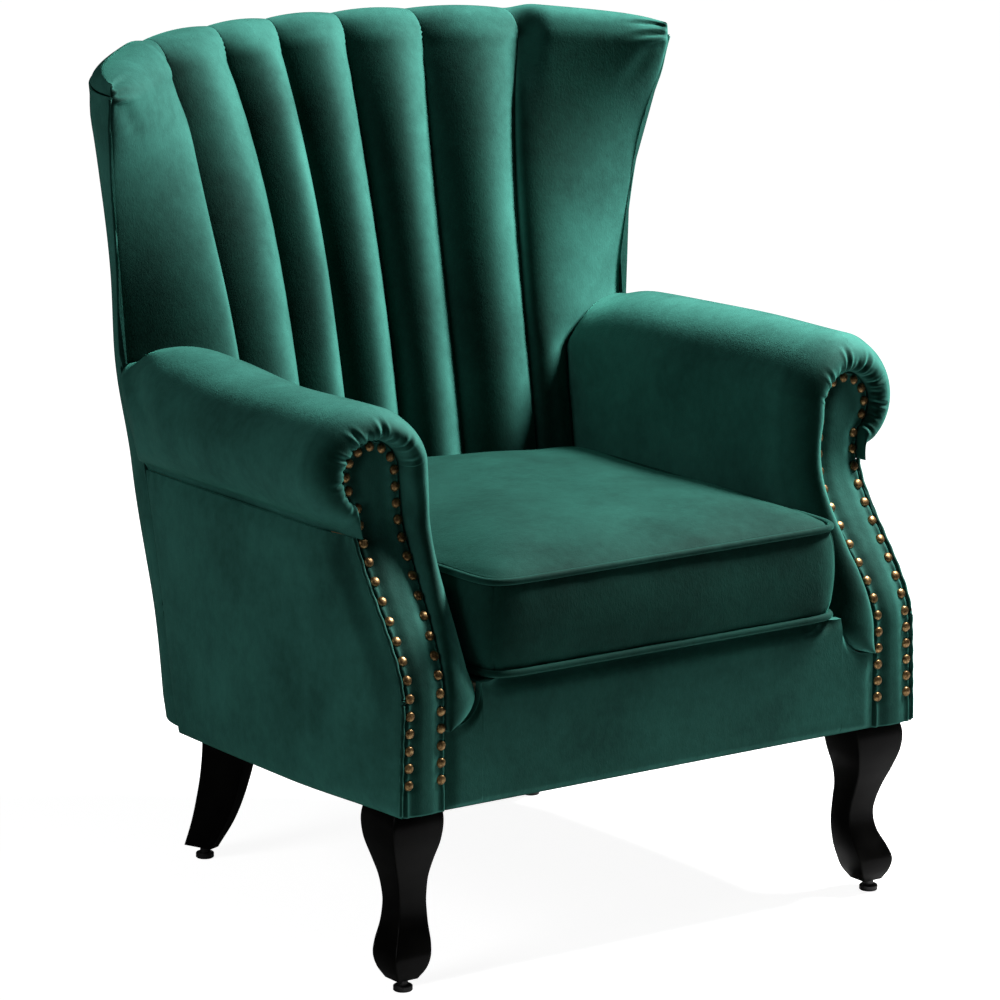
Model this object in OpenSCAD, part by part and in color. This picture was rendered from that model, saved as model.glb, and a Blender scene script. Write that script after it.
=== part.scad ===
// Channel-back wing armchair with nailed scroll arms, a loose box cushion and shaped legs.
// Origin: on the floor, midway between the sides and midway from front to rear. +Z is up, -Y is the front.

/* [Overall] */
// Width over the two arm rolls
overall_w = 784; // [760:2:810]
// Depth from the front of the cushion to the top of the back
overall_d = 767; // [750:1:790]
// Height of the channel seams where they turn over the top
top_seam_z = 942; // [920:1:970]
// Height of the lower edge of the covers above the floor
body_bottom_z = 203; // [195:1:212]

/* [Seat] */
// Clear width between the arms
seat_w = 486; // [470:2:496]
// Height of the cloth deck under the cushion
deck_z = 335; // [330:1:342]
// Thickness of the cushion between its two welts
cushion_box_h = 100; // [80:1:115]
// How far the cushion's crown rises above the top welt
cushion_crown = 32; // [15:1:40]
// How far the cushion's front stands proud of the front rail cover
cushion_proud = 12; // [6:1:16]
// Radius of the cushion's welt cord
welt_r = 4; // [3:0.5:5]

/* [Arms] */
// Height of the top of the arm rolls
roll_top_z = 628; // [615:1:645]
// Overhang of the arm roll beyond the side cover
roll_overhang = 49; // [40:1:56]
// Height of the seam under the roll
under_roll_z = 486; // [478:1:494]
// Width of the nailed facing at its foot
facing_w = 54; // [50:1:58]
// Radius of the facing's scroll
scroll_r = 37; // [33:1:39]
// Height of the scroll's centre
scroll_z = 551; // [546:1:556]
// Thickness of the padded facing board
facing_t = 12; // [8:1:14]
// How far the facing sweeps back between its foot and its scroll
sweep_depth = 98; // [80:1:110]

/* [Nails] */
// Radius of a nail head
nail_r = 5.5; // [4:0.5:6]
// Height of a nail head's dome
nail_h = 3; // [2:0.5:4]
// Spacing of the nails along the facing
nail_pitch = 19.2; // [17:0.2:22]

/* [Back] */
// Distance from a channel seam to the cover on the rear
back_t = 58; // [54:1:66]
// How far the back leans from the seat to its top
recline = 132; // [115:1:140]
// Fullness of a channel in front of its seams
channel_bulge = 24; // [12:1:28]
// Radius over which the channels turn at the top
roll_over_r = 32; // [28:1:36]

/* [Legs] */
// Width of the front leg's square top
front_leg_w = 59; // [54:1:62]
// Width of the rear leg's top, front to rear
rear_leg_w = 64; // [56:1:68]
// Angle of the rear legs from straight back
rear_leg_turn = 22; // [15:1:28]
// Radius of a levelling foot
foot_r = 10.5; // [9:0.5:13]
// Travel of a levelling foot below rest
foot_travel = 8; // [4:1:10]

/* [Frame] */
// Thickness of the frame boards
board_t = 25; // [20:1:28]
// Height of the seat rails
rail_h = 80; // [70:1:84]
// Width of the webbing straps
strap_w = 50; // [40:1:60]
// Thickness of a webbing strap
strap_t = 2; // [1.5:0.5:2.5]

/* [Hidden] */

// Colours
velvet = [0.05, 0.27, 0.21];
velvet_light = [0.10, 0.38, 0.31];
pine = [0.80, 0.66, 0.45];
plywood = [0.72, 0.58, 0.40];
lacquer = [0.03, 0.03, 0.035];
brass = [0.62, 0.45, 0.22];
steel = [0.65, 0.66, 0.68];
plastic = [0.05, 0.05, 0.05];
webbing_grey = [0.35, 0.34, 0.32];
foam = [0.90, 0.86, 0.70];
lining = [0.08, 0.08, 0.08];

// One overrun for every cut and one seating gap for every pair of soft neighbours
cut = 1;
seat_gap = 0.3;
arc_fn = 48;

// Places that the pieces share
front_y = -overall_d / 2 + cushion_proud;
rear_y = overall_d / 2;
facing_out_x = overall_w / 2 - roll_overhang;
facing_in_x = facing_out_x - facing_w;
wall_x = seat_w / 2;
cover_turn = 3;
frame_z = body_bottom_z + cover_turn;
rail_top_z = frame_z + rail_h;
web_top_z = rail_top_z + 2 * strap_t;

// Plain blends
function lerp(a, b, t) = a + (b - a) * t;
function clamp01(t) = min(1, max(0, t));
function smooth(t) = let(u = clamp01(t)) u * u * (3 - 2 * u);
function reversed(list) = [for (i = [len(list) - 1:-1:0]) list[i]];
function unit(v) = v / norm(v);

// Closed rings joined into one solid. Point j faces point n-1-j across the thickness of each ring.
module loft(rings) {
  n = len(rings[0]);
  last = (len(rings) - 1) * n;
  points = [for (ring = rings) each ring];
  sides = [
    for (i = [0:len(rings) - 2], j = [0:n - 1])
      let(a = i * n + j, b = i * n + (j + 1) % n)
      each [[a, b, b + n], [a, b + n, a + n]]
  ];
  first_cap = [
    for (j = [0:n / 2 - 2])
      each [[j, n - 2 - j, j + 1], [j, n - 1 - j, n - 2 - j]]
  ];
  last_cap = [
    for (f = first_cap)
      [last + f[0], last + f[2], last + f[1]]
  ];
  polyhedron(points, concat(sides, first_cap, last_cap), convexity = 6);
}

// A board cut to an outline in the Y-Z plane, between two X places
module side_board(outline, x0, x1) {
  translate([x0, 0, 0]) rotate([90, 0, 90]) linear_extrude(height = x1 - x0) polygon(outline);
}

// A board cut to an outline in the X-Z plane, between two Y places
module front_board(outline, y0, y1) {
  translate([0, y1, 0]) rotate([90, 0, 0]) linear_extrude(height = y1 - y0) polygon(outline);
}

// A board cut to an outline in plan, between two heights
module plan_board(outline, z0, z1) {
  translate([0, 0, z0]) linear_extrude(height = z1 - z0) polygon(outline);
}

// The body's left side repeats its right side
module left() {
  mirror([1, 0, 0]) children();
}

// Back: the seams between the channels, counted from the middle outwards, and the wing's outer edge.
// Shares of the overall width low and high, of the overall depth forwards, and of the recline lost.
seam_low_shares = [0.0485, 0.139, 0.249, 0.436];
seam_high_shares = [0.0587, 0.181, 0.321, 0.496];
seam_set_shares = [0, 0.029, 0.065, 0];
seam_lean_shares = [0, 0, 0.09, 0];
lean_straight_share = 0.53;
seam_base_z = 440;
edge_drop = 13;
over_turn = 150;
back_top_z = top_seam_z - roll_over_r * (1 - sin(over_turn));

function back_t_at(z) = (z - seam_base_z) / (back_top_z - seam_base_z);
function lean_at(z) =
  let(t = back_t_at(z)) lean_straight_share * t + (1 - lean_straight_share) * t * t;
function seam_x(k, z) =
  overall_w * lerp(seam_low_shares[k], seam_high_shares[k], pow(clamp01(back_t_at(z)), 3));
function inner_seam_y(k, z) =
  rear_y - back_t - recline - overall_d * seam_set_shares[k]
  + recline * (1 - seam_lean_shares[k]) * lean_at(z);

// The edge of the cover on the rear: height share of the top seam, depth share of the whole depth
edge_shares = [
  [0.2155, 0.580], [0.515, 0.661], [0.608, 0.713], [0.658, 0.725],
  [0.743, 0.718], [0.849, 0.704], [0.955, 0.670], [1.05, 0.65]
];
function edge_y(z) = front_y + overall_d * lookup(z / top_seam_z, edge_shares);

// Below the arm rolls the wing pads narrow and tuck in behind the arms
tuck_x = overall_w * 0.342;
tuck_low_z = 572;
tuck_high_z = 622;
tuck_y = 20;
function tuck_at(z) = smooth((z - tuck_low_z) / (tuck_high_z - tuck_low_z));
function wing_x(z) = lerp(tuck_x, seam_x(3, z), tuck_at(z));
function wing_y(z) = lerp(inner_seam_y(2, z) + tuck_y, edge_y(z), tuck_at(z));
function line_x(k, z) = k == 3 ? wing_x(z) : seam_x(k, z);
function line_y(k, z) = k == 3 ? wing_y(z) : inner_seam_y(k, z);

// A seam's place: up the back as far as turn_z, then over an arc. s runs 0 to 1 up and 1 to 2 over.
tip_turn_in = 9;
channel_foot_z = deck_z + seat_gap;
function turn_z(k) = top_seam_z - roll_over_r - (k == 3 ? edge_drop : 0);
function over_depth(k, x, z) =
  (shell_inner_y(x, z) - 2 * seat_gap - line_y(k, z)) / (1 - cos(over_turn));
function seam_point(k, s) =
  let(
    z1 = turn_z(k),
    z = lerp(channel_foot_z, z1, min(s, 1)),
    a = over_turn * max(s - 1, 0),
    x = line_x(k, z) - (k == 3 ? tip_turn_in * (1 - cos(a)) : 0),
    deep = s > 1 ? over_depth(k, x, z1) : 0
  )
  [x, line_y(k, z) + deep * (1 - cos(a)), z + roll_over_r * sin(a)];
function mirrored(p) = [-p[0], p[1], p[2]];

// Channels and wing pads
channel_backing = 12;
channel_sides = 9;
channel_stations = [0, 0.03, 0.15, 0.3, 0.42, 0.45, 0.48, 0.51, 0.6, 0.72, 0.84, 0.93, 1, 1.16, 1.36, 1.6, 1.82, 2];
bulge_shares = [[0, 0.75], [0.1, 1], [0.93, 1], [1.0, 0.8], [1.2, 0.45], [1.6, 0.22], [2, 0.1]];
wing_bulge_shares = [[0, 0.75], [0.1, 1], [0.93, 1], [1.2, 0.75], [1.6, 0.65], [2, 0.1]];
channel_gap = seat_gap / 2;

// How full a channel stands across its width; a wing is fullest beside its seam, and over the top
// it is fullest towards its tip
wing_lead_shares = [[0, 0.6], [0.9, 0.6], [1.3, 1.5], [2, 1.5]];
function fullness(u, wing, s = 0) =
  wing
    ? pow(abs(sin(180 * pow(u, lookup(s, wing_lead_shares)))), lerp(0.6, 1, clamp01(u - s / 2)))
    : pow(sin(180 * u), 0.6);

// A ring across one channel from seam point p to seam point q
function channel_ring(p, q, s, bulge, backing, wing) =
  let(
    a = over_turn * max(s - 1, 0),
    across = unit(q - p),
    flat = unit([across[1], -across[0], 0]),
    out = flat * cos(a) + [0, 0, sin(a)],
    behind = [0, cos(a), -sin(a)] * backing * lerp(1, 0.35, clamp01(s - 1)),
    p1 = p + across * channel_gap,
    q1 = q - across * channel_gap,
    full = bulge * lookup(s, wing ? wing_bulge_shares : bulge_shares)
  )
  concat(
    [for (i = [0:channel_sides])
      let(u = i / channel_sides) lerp(p1, q1, u) + out * full * fullness(u, wing, s)],
    [for (i = [channel_sides:-1:0])
      lerp(p1, q1 - across * (wing ? 2 * backing : 0), i / channel_sides) + behind]
  );

module channel(k0, k1, bulge) {
  color(k1 % 2 == 0 ? velvet : velvet_light)
    loft([for (s = reversed(channel_stations))
      channel_ring(
        k0 < 0 ? mirrored(seam_point(-k0 - 1, s)) : seam_point(k0, s),
        seam_point(k1, s), s, bulge, channel_backing, k1 == 3)]);
}

module center_channel() {
  channel(-1, 0, channel_bulge);
}

module right_inner_channel() {
  channel(0, 1, channel_bulge);
}

module right_outer_channel() {
  channel(1, 2, channel_bulge);
}

module right_wing_pad() {
  channel(2, 3, channel_bulge);
}

// The cover on the outside of the back, from one wing's edge round to the other
shell_t = 3;
shell_proud = shell_t + seat_gap;
shell_power_shares = [[0.2, 2.2], [0.34, 2.2], [0.5, 2.8], [0.72, 2.1], [1, 2.1]];
function shell_power(z) = lookup(z / top_seam_z, shell_power_shares);
shell_columns = 22;
shell_rows = [0, 0.1, 0.22, 0.38, 0.5, 0.575, 0.65, 0.75, 0.86, 0.95, 1];
function shell_half_w(z) = seam_x(3, z) + shell_proud;
function shell_rear_y(z) = inner_seam_y(0, z) + back_t;
function shell_curve(v, z, inset) =
  let(
    side = sign(v) * pow(abs(sin(90 * v)), 2 / shell_power(z)),
    rear = pow(abs(cos(90 * v)), 2 / shell_power(z)),
    y0 = edge_y(z)
  )
  [(shell_half_w(z) - inset) * side, y0 + (shell_rear_y(z) - inset - y0) * rear, z];
function shell_top_z(v) = back_top_z - edge_drop * pow(abs(v), 3);
function shell_ring(v) =
  let(z1 = shell_top_z(v))
  concat(
    [for (w = shell_rows) shell_curve(v, lerp(body_bottom_z, z1, w), 0)],
    [for (w = reversed(shell_rows)) shell_curve(v, lerp(body_bottom_z, z1, w), shell_t)]
  );
module outside_back() {
  color(velvet) loft([for (i = [0:shell_columns]) shell_ring(1 - 2 * i / shell_columns)]);
}

// Facing: straight at its foot, then swept back to the scroll. Each nail sits on its own flat.
sweep_low_z = 318;
sweep_high_z = 508;
function sweep_y(z) =
  front_y + sweep_depth * smooth((z - sweep_low_z) / (sweep_high_z - sweep_low_z));
foot_nail_rise = 16;
nail_foot_z = body_bottom_z + foot_nail_rise;
flat_count = floor((scroll_z - nail_foot_z - scroll_r) / (nail_pitch * 0.96));
function flat_z(i) =
  nail_foot_z + (i - 0.5) * (sweep_high_z + nail_pitch / 2 - nail_foot_z) / flat_count;
scroll_top_z = scroll_z + scroll_r;
facing_front = concat(
  [[front_y, body_bottom_z]],
  [for (i = [1:flat_count]) [sweep_y(flat_z(i)), flat_z(i)]],
  [[front_y + sweep_depth, scroll_top_z + cut]]
);
function shifted(outline, dy) = [for (p = outline) [p[0] + dy, p[1]]];

// The facing's outline in front view
facing_taper = 7;
facing_lean = 14;
waist_z = 470;
scroll_set_in = 25;
scroll_x = facing_out_x - scroll_set_in;
scroll_out_turn = -52;
scroll_in_turn = 186;
scroll_steps = 16;
facing_levels = [for (w = [0, 0.33, 0.66, 1]) lerp(sweep_low_z, waist_z, w)];
function neck_x(x0, turn, z) =
  let(neck_top = scroll_z + scroll_r * sin(turn))
  lerp(x0, scroll_x + scroll_r * cos(turn), clamp01((z - waist_z) / (neck_top - waist_z)));
function facing_out(z) =
  neck_x(facing_out_x - facing_taper * smooth((z - body_bottom_z) / (waist_z - body_bottom_z)),
    scroll_out_turn, z);
function facing_in(z) =
  neck_x(facing_in_x - facing_lean * smooth((z - sweep_low_z) / (waist_z - sweep_low_z)),
    scroll_in_turn, z);
function scroll_arc(r) =
  [for (i = [0:scroll_steps])
    let(a = lerp(scroll_out_turn, scroll_in_turn, i / scroll_steps))
    [scroll_x + r * cos(a), scroll_z + r * sin(a)]];
function facing_outline(low_z) =
  concat(
    [for (z = concat([low_z], facing_levels)) [facing_out(z), z]],
    scroll_arc(scroll_r),
    [for (z = reversed(concat([low_z], facing_levels))) [facing_in(z), z]]
  );

// A board that follows the sweep, between two depths behind the facing's front
module swept_board(low_z, depth0, depth1) {
  intersection() {
    side_board(
      concat(shifted(facing_front, depth0), reversed(shifted(facing_front, depth1))),
      facing_in_x - scroll_r, facing_out_x + scroll_r);
    front_board(facing_outline(low_z), front_y - cut, front_y + sweep_depth + depth1 + cut);
  }
}

module right_arm_facing() {
  color(velvet) swept_board(body_bottom_z, 0, facing_t);
}

stump_t = 38;
module right_arm_stump() {
  color(pine) swept_board(frame_z, facing_t, facing_t + stump_t);
}

// Domed nail heads: two rows up the flats, then one row round the scroll
nail_inset = 6.2;
dome_steps = 5;
module nail_head() {
  dome_r = (nail_r * nail_r + nail_h * nail_h) / (2 * nail_h);
  dome_turn = asin(nail_r / dome_r);
  rotate_extrude($fn = arc_fn)
    polygon(concat(
      [[0, 0]],
      [for (i = [0:dome_steps])
        let(a = dome_turn * (1 - i / dome_steps))
        [dome_r * sin(a), dome_r * cos(a) - dome_r + nail_h]]
    ));
}
module nail_on_flat(x, i) {
  p = facing_front[i];
  q = facing_front[i + 1];
  turn = atan2(q[0] - p[0], q[1] - p[1]);
  translate([x, (p[0] + q[0]) / 2, (p[1] + q[1]) / 2]) rotate([90 - turn, 0, 0]) nail_head();
}
scroll_nails = 8;
scroll_nail_out_turn = -27;
scroll_nail_in_turn = 176;
neck_pitch_share = 0.94;
module neck_nail(x, z) {
  translate([x, front_y + sweep_depth, z]) rotate([90, 0, 0]) nail_head();
}
module right_nailheads() {
  color(brass) {
    for (i = [1:flat_count - 1]) {
      z = (facing_front[i][1] + facing_front[i + 1][1]) / 2;
      nail_on_flat(facing_out(z) - nail_inset, i);
      nail_on_flat(facing_in(z) + nail_inset, i);
    }
    for (k = [1:2]) {
      z = (facing_front[flat_count - 1][1] + facing_front[flat_count][1]) / 2
        + k * nail_pitch * neck_pitch_share;
      if (k == 1) neck_nail(facing_out(z) - nail_inset, z);
      neck_nail(facing_in(z) + nail_inset, z);
    }
    for (i = [0:scroll_nails - 1]) {
      a = lerp(scroll_nail_out_turn, scroll_nail_in_turn, i / (scroll_nails - 1));
      r = scroll_r - nail_inset;
      neck_nail(scroll_x + r * cos(a), scroll_z + r * sin(a));
    }
  }
}

// Arm pad: a cane-shaped padding over the stump and rail, from the seat's side over the roll
roll_half_w = (overall_w / 2 - wall_x) / 2;
roll_mid_x = wall_x + roll_half_w;
roll_half_h = 70;
roll_mid_z = roll_top_z - roll_half_h;
roll_start_turn = -68;
toe_r = 40;
pad_foot_z = web_top_z + seat_gap;
wall_shares = [0.764, 0.44, 0.185];
wall_heights = [for (w = wall_shares) lerp(deck_z, scroll_z, w)];
roll_steps = 16;
toe_steps = 3;
pad_outer = concat(
  [for (i = [0:roll_steps])
    let(a = lerp(roll_start_turn, 180, i / roll_steps))
    [roll_mid_x + roll_half_w * cos(a), roll_mid_z + roll_half_h * sin(a)]],
  [for (h = wall_heights) [wall_x, h]],
  [for (i = [0:toe_steps])
    let(a = lerp(180, 268, i / toe_steps))
    [wall_x + toe_r + toe_r * cos(a), pad_foot_z + toe_r + toe_r * sin(a)]]
);
pad_inner = concat(
  scroll_arc(scroll_r + seat_gap),
  [for (k = [3:-1:1]) let(z = facing_levels[k]) [facing_in(z) - seat_gap, z]],
  [for (i = [0:toe_steps])
    let(z = lerp(sweep_low_z, pad_foot_z, i / toe_steps)) [facing_in_x - seat_gap, z]]
);

// The front end of the pad turns in to the facing: share of the way in, depth share, fullness share
end_shares = [
  [0.97, 0, 0.05], [0.8, 0.04, 0.75], [0.5, 0.1, 1], [0.22, 0.24, 0.75], [0.06, 0.55, 0.3]
];
end_depth_foot = 38;
end_depth_scroll = 18;
end_full_foot = 2;
end_full_scroll = 14;
roll_rise = 5;
roll_fall = 10;
function roll_lift(z, t) =
  lerp(roll_rise, -roll_fall, smooth(t)) * clamp01((z - roll_mid_z) / roll_half_h);
function end_mix(z) = smooth((z - sweep_low_z) / (sweep_high_z - sweep_low_z));
function end_point(o, i, e) =
  let(
    x = lerp(o[0], i[0], e[0]),
    z = lerp(o[1] + roll_lift(o[1], 0), i[1], e[0]),
    m = end_mix(z)
  )
  [x, sweep_y(z) + e[1] * lerp(end_depth_foot, end_depth_scroll, m)
    - e[2] * lerp(end_full_foot, end_full_scroll, m), z];
function end_inner(i, e) =
  [i[0], sweep_y(i[1]) + e[1] * lerp(end_depth_foot, end_depth_scroll, end_mix(i[1])), i[1]];

// Behind the arm the pad meets the wing pad's face
roll_tail = 62;
roll_tail_w = 55;
function wing_face_y(x, z) =
  let(
    x0 = seam_x(2, z),
    x1 = wing_x(z),
    u = clamp01((x - x0) / (x1 - x0)),
    chord = lerp(inner_seam_y(2, z), wing_y(z), u)
  )
  chord - channel_bulge * fullness(u, true) * 1.05;
function pad_rear_y(x, z) =
  let(
    face = wing_face_y(x, z),
    free = lerp(face, edge_y(z), smooth((x - tuck_x) / (wing_post_x0 - tuck_x)))
  )
  min(face, free) - 10 * seat_gap
  - roll_tail * pow(clamp01((x - overall_w / 2 + roll_tail_w) / roll_tail_w), 2);
pad_stations = [0, 0.2, 0.45, 0.7, 0.88, 1];
function pad_front_y(z) = sweep_y(z) + lerp(end_depth_foot, end_depth_scroll, end_mix(z));
function pad_point(p, t, lift) =
  [p[0], lerp(pad_front_y(p[1]), pad_rear_y(p[0], p[1]), t), p[1] + lift * roll_lift(p[1], t)];
module right_arm_pad() {
  color(velvet_light)
    loft(concat(
      [for (e = end_shares)
        concat(
          [for (j = [0:len(pad_outer) - 1]) end_point(pad_outer[j], pad_inner[j], e)],
          [for (p = reversed(pad_inner)) end_inner(p, e)])],
      [for (t = pad_stations)
        concat(
          [for (p = pad_outer) pad_point(p, t, 1)],
          [for (p = reversed(pad_inner)) pad_point(p, t, 0)])]
    ));
}

// Side cover: bows outwards between the facing and the rear, and turns under at its foot
side_skin = 4;
side_bow = 13;
hem_sag = 6;
side_stations = [0, 0.03, 0.08, 0.13, 0.25, 0.4, 0.55, 0.7, 0.85, 1];
side_rows = [0, 0.03, 0.1, 0.3, 0.55, 0.8, 0.94, 1];
row_fullness = [[0, 0.2], [0.03, 0.75], [0.1, 1], [0.55, 0.9], [0.94, 0.75], [1, 0.3]];
function side_low_z(t) = body_bottom_z - hem_sag * smooth(2 * t);
function side_inner_x(z, depth) =
  lerp(facing_out(z), facing_out_x, smooth((depth - facing_t) / stump_t)) + seat_gap;
function side_ring(t) =
  let(
    rows = [for (w = side_rows)
      let(
        z = lerp(side_low_z(t), under_roll_z - seat_gap, w),
        y = lerp(sweep_y(z), edge_y(z) - 2 * seat_gap, t),
        x = side_inner_x(z, y - sweep_y(z)),
        full = lookup(w, row_fullness)
      )
      [x, y, z, x + side_skin * (0.4 + 0.6 * full) + side_bow * full * pow(sin(180 * t), 0.7)]]
  )
  concat(
    [for (r = rows) [r[3], r[1], r[2]]],
    [for (r = reversed(rows)) [r[0], r[1], r[2]]]
  );
module right_side_panel() {
  color(velvet) loft([for (t = side_stations) side_ring(t)]);
}

// Front cover between the facings; its top corners clear the arm pads' toes
apron_top_z = deck_z - seat_gap;
apron_corner_steps = 6;
apron_half = concat(
  [[facing_in_x - seat_gap, body_bottom_z], [facing_in_x - seat_gap, pad_foot_z - seat_gap]],
  [for (i = [0:apron_corner_steps])
    let(a = lerp(268, 180, i / apron_corner_steps), r = toe_r + seat_gap)
    [wall_x + toe_r + r * cos(a), pad_foot_z + toe_r + r * sin(a)]],
  [[wall_x - seat_gap, apron_top_z]]
);
module front_apron() {
  color(velvet)
    front_board(
      concat(apron_half, [for (p = reversed(apron_half)) [-p[0], p[1]]]),
      front_y, front_y + facing_t);
}

// Frame
module front_rail() {
  y0 = front_y + facing_t;
  x1 = facing_in_x - seat_gap;
  color(pine)
    plan_board([[-x1, y0], [x1, y0], [x1, y0 + board_t], [-x1, y0 + board_t]], frame_z, rail_top_z);
}

side_rail_rear_y = edge_y(frame_z);
module right_side_rail() {
  y0 = front_y + facing_t + stump_t;
  color(pine)
    plan_board(
      [[facing_out_x - board_t, y0], [facing_out_x, y0],
       [facing_out_x, side_rail_rear_y], [facing_out_x - board_t, side_rail_rear_y]],
      frame_z, rail_top_z);
}

// Curved base rail that carries the foot of the outside cover
base_rail_steps = 20;
function base_curve(inset) =
  [for (i = [0:base_rail_steps])
    let(
      v = lerp(-1, 1, i / base_rail_steps),
      p = shell_curve(v, frame_z, shell_t + 2 * seat_gap + inset)
    )
    [p[0], p[1]]];
module back_base_rail() {
  color(plywood)
    plan_board(concat(base_curve(0), reversed(base_curve(board_t))), frame_z, rail_top_z);
}

// Blocks inside the four corners, each bored for a leg bolt
block_h = 40;
front_block = 78;
bolt_r = 4;
bolt_gap = 0.5;
rear_leg_x = overall_w * 0.2768;
rear_leg_set = overall_d * 0.704;
rear_leg_y = front_y + rear_leg_set;
rear_block_x0 = overall_w * 0.199;
rear_block_x1 = overall_w * 0.3725;
rear_bolt_lead = 20;
rear_bolt_x = rear_leg_x - rear_bolt_lead * sin(rear_leg_turn);
rear_bolt_y = rear_leg_y - rear_bolt_lead * cos(rear_leg_turn);
rear_block_lead = 62;
rear_block_y0 = rear_leg_y - rear_block_lead;
module rear_block() {
  curve = [for (p = base_curve(board_t)) if (p[0] > rear_block_x0 && p[0] < rear_block_x1) p];
  first = curve[0];
  last = curve[len(curve) - 1];
  plan_board(
    concat([[last[0], rear_block_y0], [first[0], rear_block_y0]], curve),
    frame_z, frame_z + block_h);
}
module front_block_right() {
  y0 = front_y + facing_t + board_t;
  stump_y = front_y + facing_t + stump_t;
  x1 = facing_out_x - board_t;
  plan_board(
    [[x1 - front_block, y0], [facing_in_x, y0], [facing_in_x, stump_y], [x1, stump_y],
     [x1, y0 + front_block]],
    frame_z, frame_z + block_h);
}
module block_pair() {
  difference() {
    front_block_right();
    translate([front_bolt_x, front_bolt_y, frame_z - cut])
      cylinder(h = block_h + 2 * cut, r = bolt_r + bolt_gap, $fn = arc_fn);
  }
  difference() {
    rear_block();
    translate([rear_bolt_x, rear_bolt_y, frame_z - cut])
      cylinder(h = block_h + 2 * cut, r = bolt_r + bolt_gap, $fn = arc_fn);
  }
}
module corner_blocks() {
  color(pine) {
    block_pair();
    left() block_pair();
  }
}

// Arm rail from the stump to the wing post, inside the roll
arm_rail_w = 40;
arm_rail_x0 = scroll_x - arm_rail_w / 2;
arm_rail_top = scroll_z + sqrt(scroll_r * scroll_r - arm_rail_w * arm_rail_w / 4);
arm_rail_h = 42;
post_lead = 3;
module right_arm_rail() {
  y0 = front_y + sweep_depth + facing_t + stump_t;
  z0 = arm_rail_top - arm_rail_h;
  color(pine)
    side_board(
      concat(
        [[y0, z0]],
        [for (i = [0:2]) let(z = lerp(z0, arm_rail_top, i / 2)) [wing_post_y(z) - 2 * seat_gap, z]],
        [[y0, arm_rail_top]]),
      arm_rail_x0, arm_rail_x0 + arm_rail_w);
}

// Post at the rear of each arm, leaning back with the edge of the outside cover
wing_post_t = 27;
wing_post_w = 22;
wing_post_inset = 2;
wing_post_drop = 6;
wing_post_x0 = scroll_x - arm_rail_w / 2 + wing_post_inset;
wing_post_top = scroll_z + scroll_r - wing_post_drop;
post_steps = 14;
function wing_post_y(z) = edge_y(z) + post_lead;
module right_wing_post() {
  front = [for (i = [0:post_steps])
    let(z = lerp(rail_top_z, wing_post_top, i / post_steps)) [wing_post_y(z), z]];
  color(pine)
    side_board(
      concat(front, reversed(shifted(front, wing_post_t))),
      wing_post_x0, wing_post_x0 + wing_post_w);
}

// Fin that carries the wing above the arm
fin_x0 = overall_w * 0.3725;
fin_t = 18;
fin_rise = 18;
fin_drop = 60;
fin_low_z = tuck_high_z + fin_rise;
fin_high_z = top_seam_z - fin_drop;
fin_steps = 12;
function wing_back_y(x, z) =
  let(x0 = seam_x(2, z), x1 = wing_x(z))
  lerp(inner_seam_y(2, z), wing_y(z), (x - x0) / (x1 - x0)) + channel_backing;
function shell_inner_y(x, z) =
  let(
    y0 = edge_y(z),
    u = clamp01(x / (shell_half_w(z) - shell_t))
  )
  y0 + (shell_rear_y(z) - shell_t - y0) * pow(1 - pow(u, shell_power(z)), 1 / shell_power(z));
module right_wing_frame() {
  heights = [for (i = [0:fin_steps]) lerp(fin_low_z, fin_high_z, i / fin_steps)];
  color(plywood)
    side_board(
      concat(
        [for (z = heights) [max(wing_back_y(fin_x0, z), wing_back_y(fin_x0 + fin_t, z)) + 8 * seat_gap, z]],
        [for (z = reversed(heights)) [shell_inner_y(fin_x0 + fin_t, z) - 8 * seat_gap, z]]
      ),
      fin_x0, fin_x0 + fin_t);
}

// Posts behind the outer seams, standing on the rear blocks
post_x0 = overall_w * 0.2117;
post_w = 28;
post_t = 26;
post_drop = 58;
post_top_z = top_seam_z - post_drop;
back_post_steps = 7;
function post_front_y(z) =
  lerp(inner_seam_y(2, z), inner_seam_y(1, z), (seam_x(2, z) - post_x0) / (seam_x(2, z) - seam_x(1, z)))
  + channel_backing + strap_t + 4 * seat_gap;
module right_back_post() {
  front = [for (i = [0:back_post_steps])
    let(z = lerp(frame_z + block_h, post_top_z, i / back_post_steps)) [post_front_y(z), z]];
  color(pine)
    side_board(concat(front, reversed(shifted(front, post_t))), post_x0, post_x0 + post_w);
}

// Curved rails across the back: outline in plan just behind the channels
top_rail_drop = 96;
top_rail_z = top_seam_z - top_rail_drop;
top_rail_h = 38;
top_rail_t = 22;
low_rail_z = 345;
low_rail_h = 45;
function behind_line(k, z, extra) =
  [line_x(k, z), line_y(k, z) + channel_backing + strap_t + 4 * seat_gap + extra];
function at_x(p, q, x) = [x, lerp(p[1], q[1], (x - p[0]) / (q[0] - p[0]))];
function rail_half(z, end_x, extra) =
  let(
    seams = [for (k = [0:3]) behind_line(k, z, extra)],
    inside = [for (p = seams) if (p[0] < end_x) p],
    n = len(inside)
  )
  concat(inside, [at_x(seams[n - 1], seams[n], end_x)]);
module curved_rail(z0, h, end_x) {
  front = rail_half(z0 + h, end_x, 0);
  back = rail_half(z0 + h, end_x, top_rail_t);
  plan_board(
    concat(
      [for (p = reversed(front)) [-p[0], p[1]]], front,
      reversed(back), [for (p = back) [-p[0], p[1]]]
    ),
    z0, z0 + h);
}
module post_slots(z0, h) {
  for (side = [-1, 1])
    translate([side * (post_x0 + post_w / 2), post_front_y(z0 + h) + post_t / 2, z0 + h / 2])
      cube([post_w, 4 * post_t, h + 2 * cut], center = true);
}
module back_top_rail() {
  color(plywood)
    difference() {
      curved_rail(top_rail_z, top_rail_h, fin_x0);
      post_slots(top_rail_z, top_rail_h);
    }
}
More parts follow.
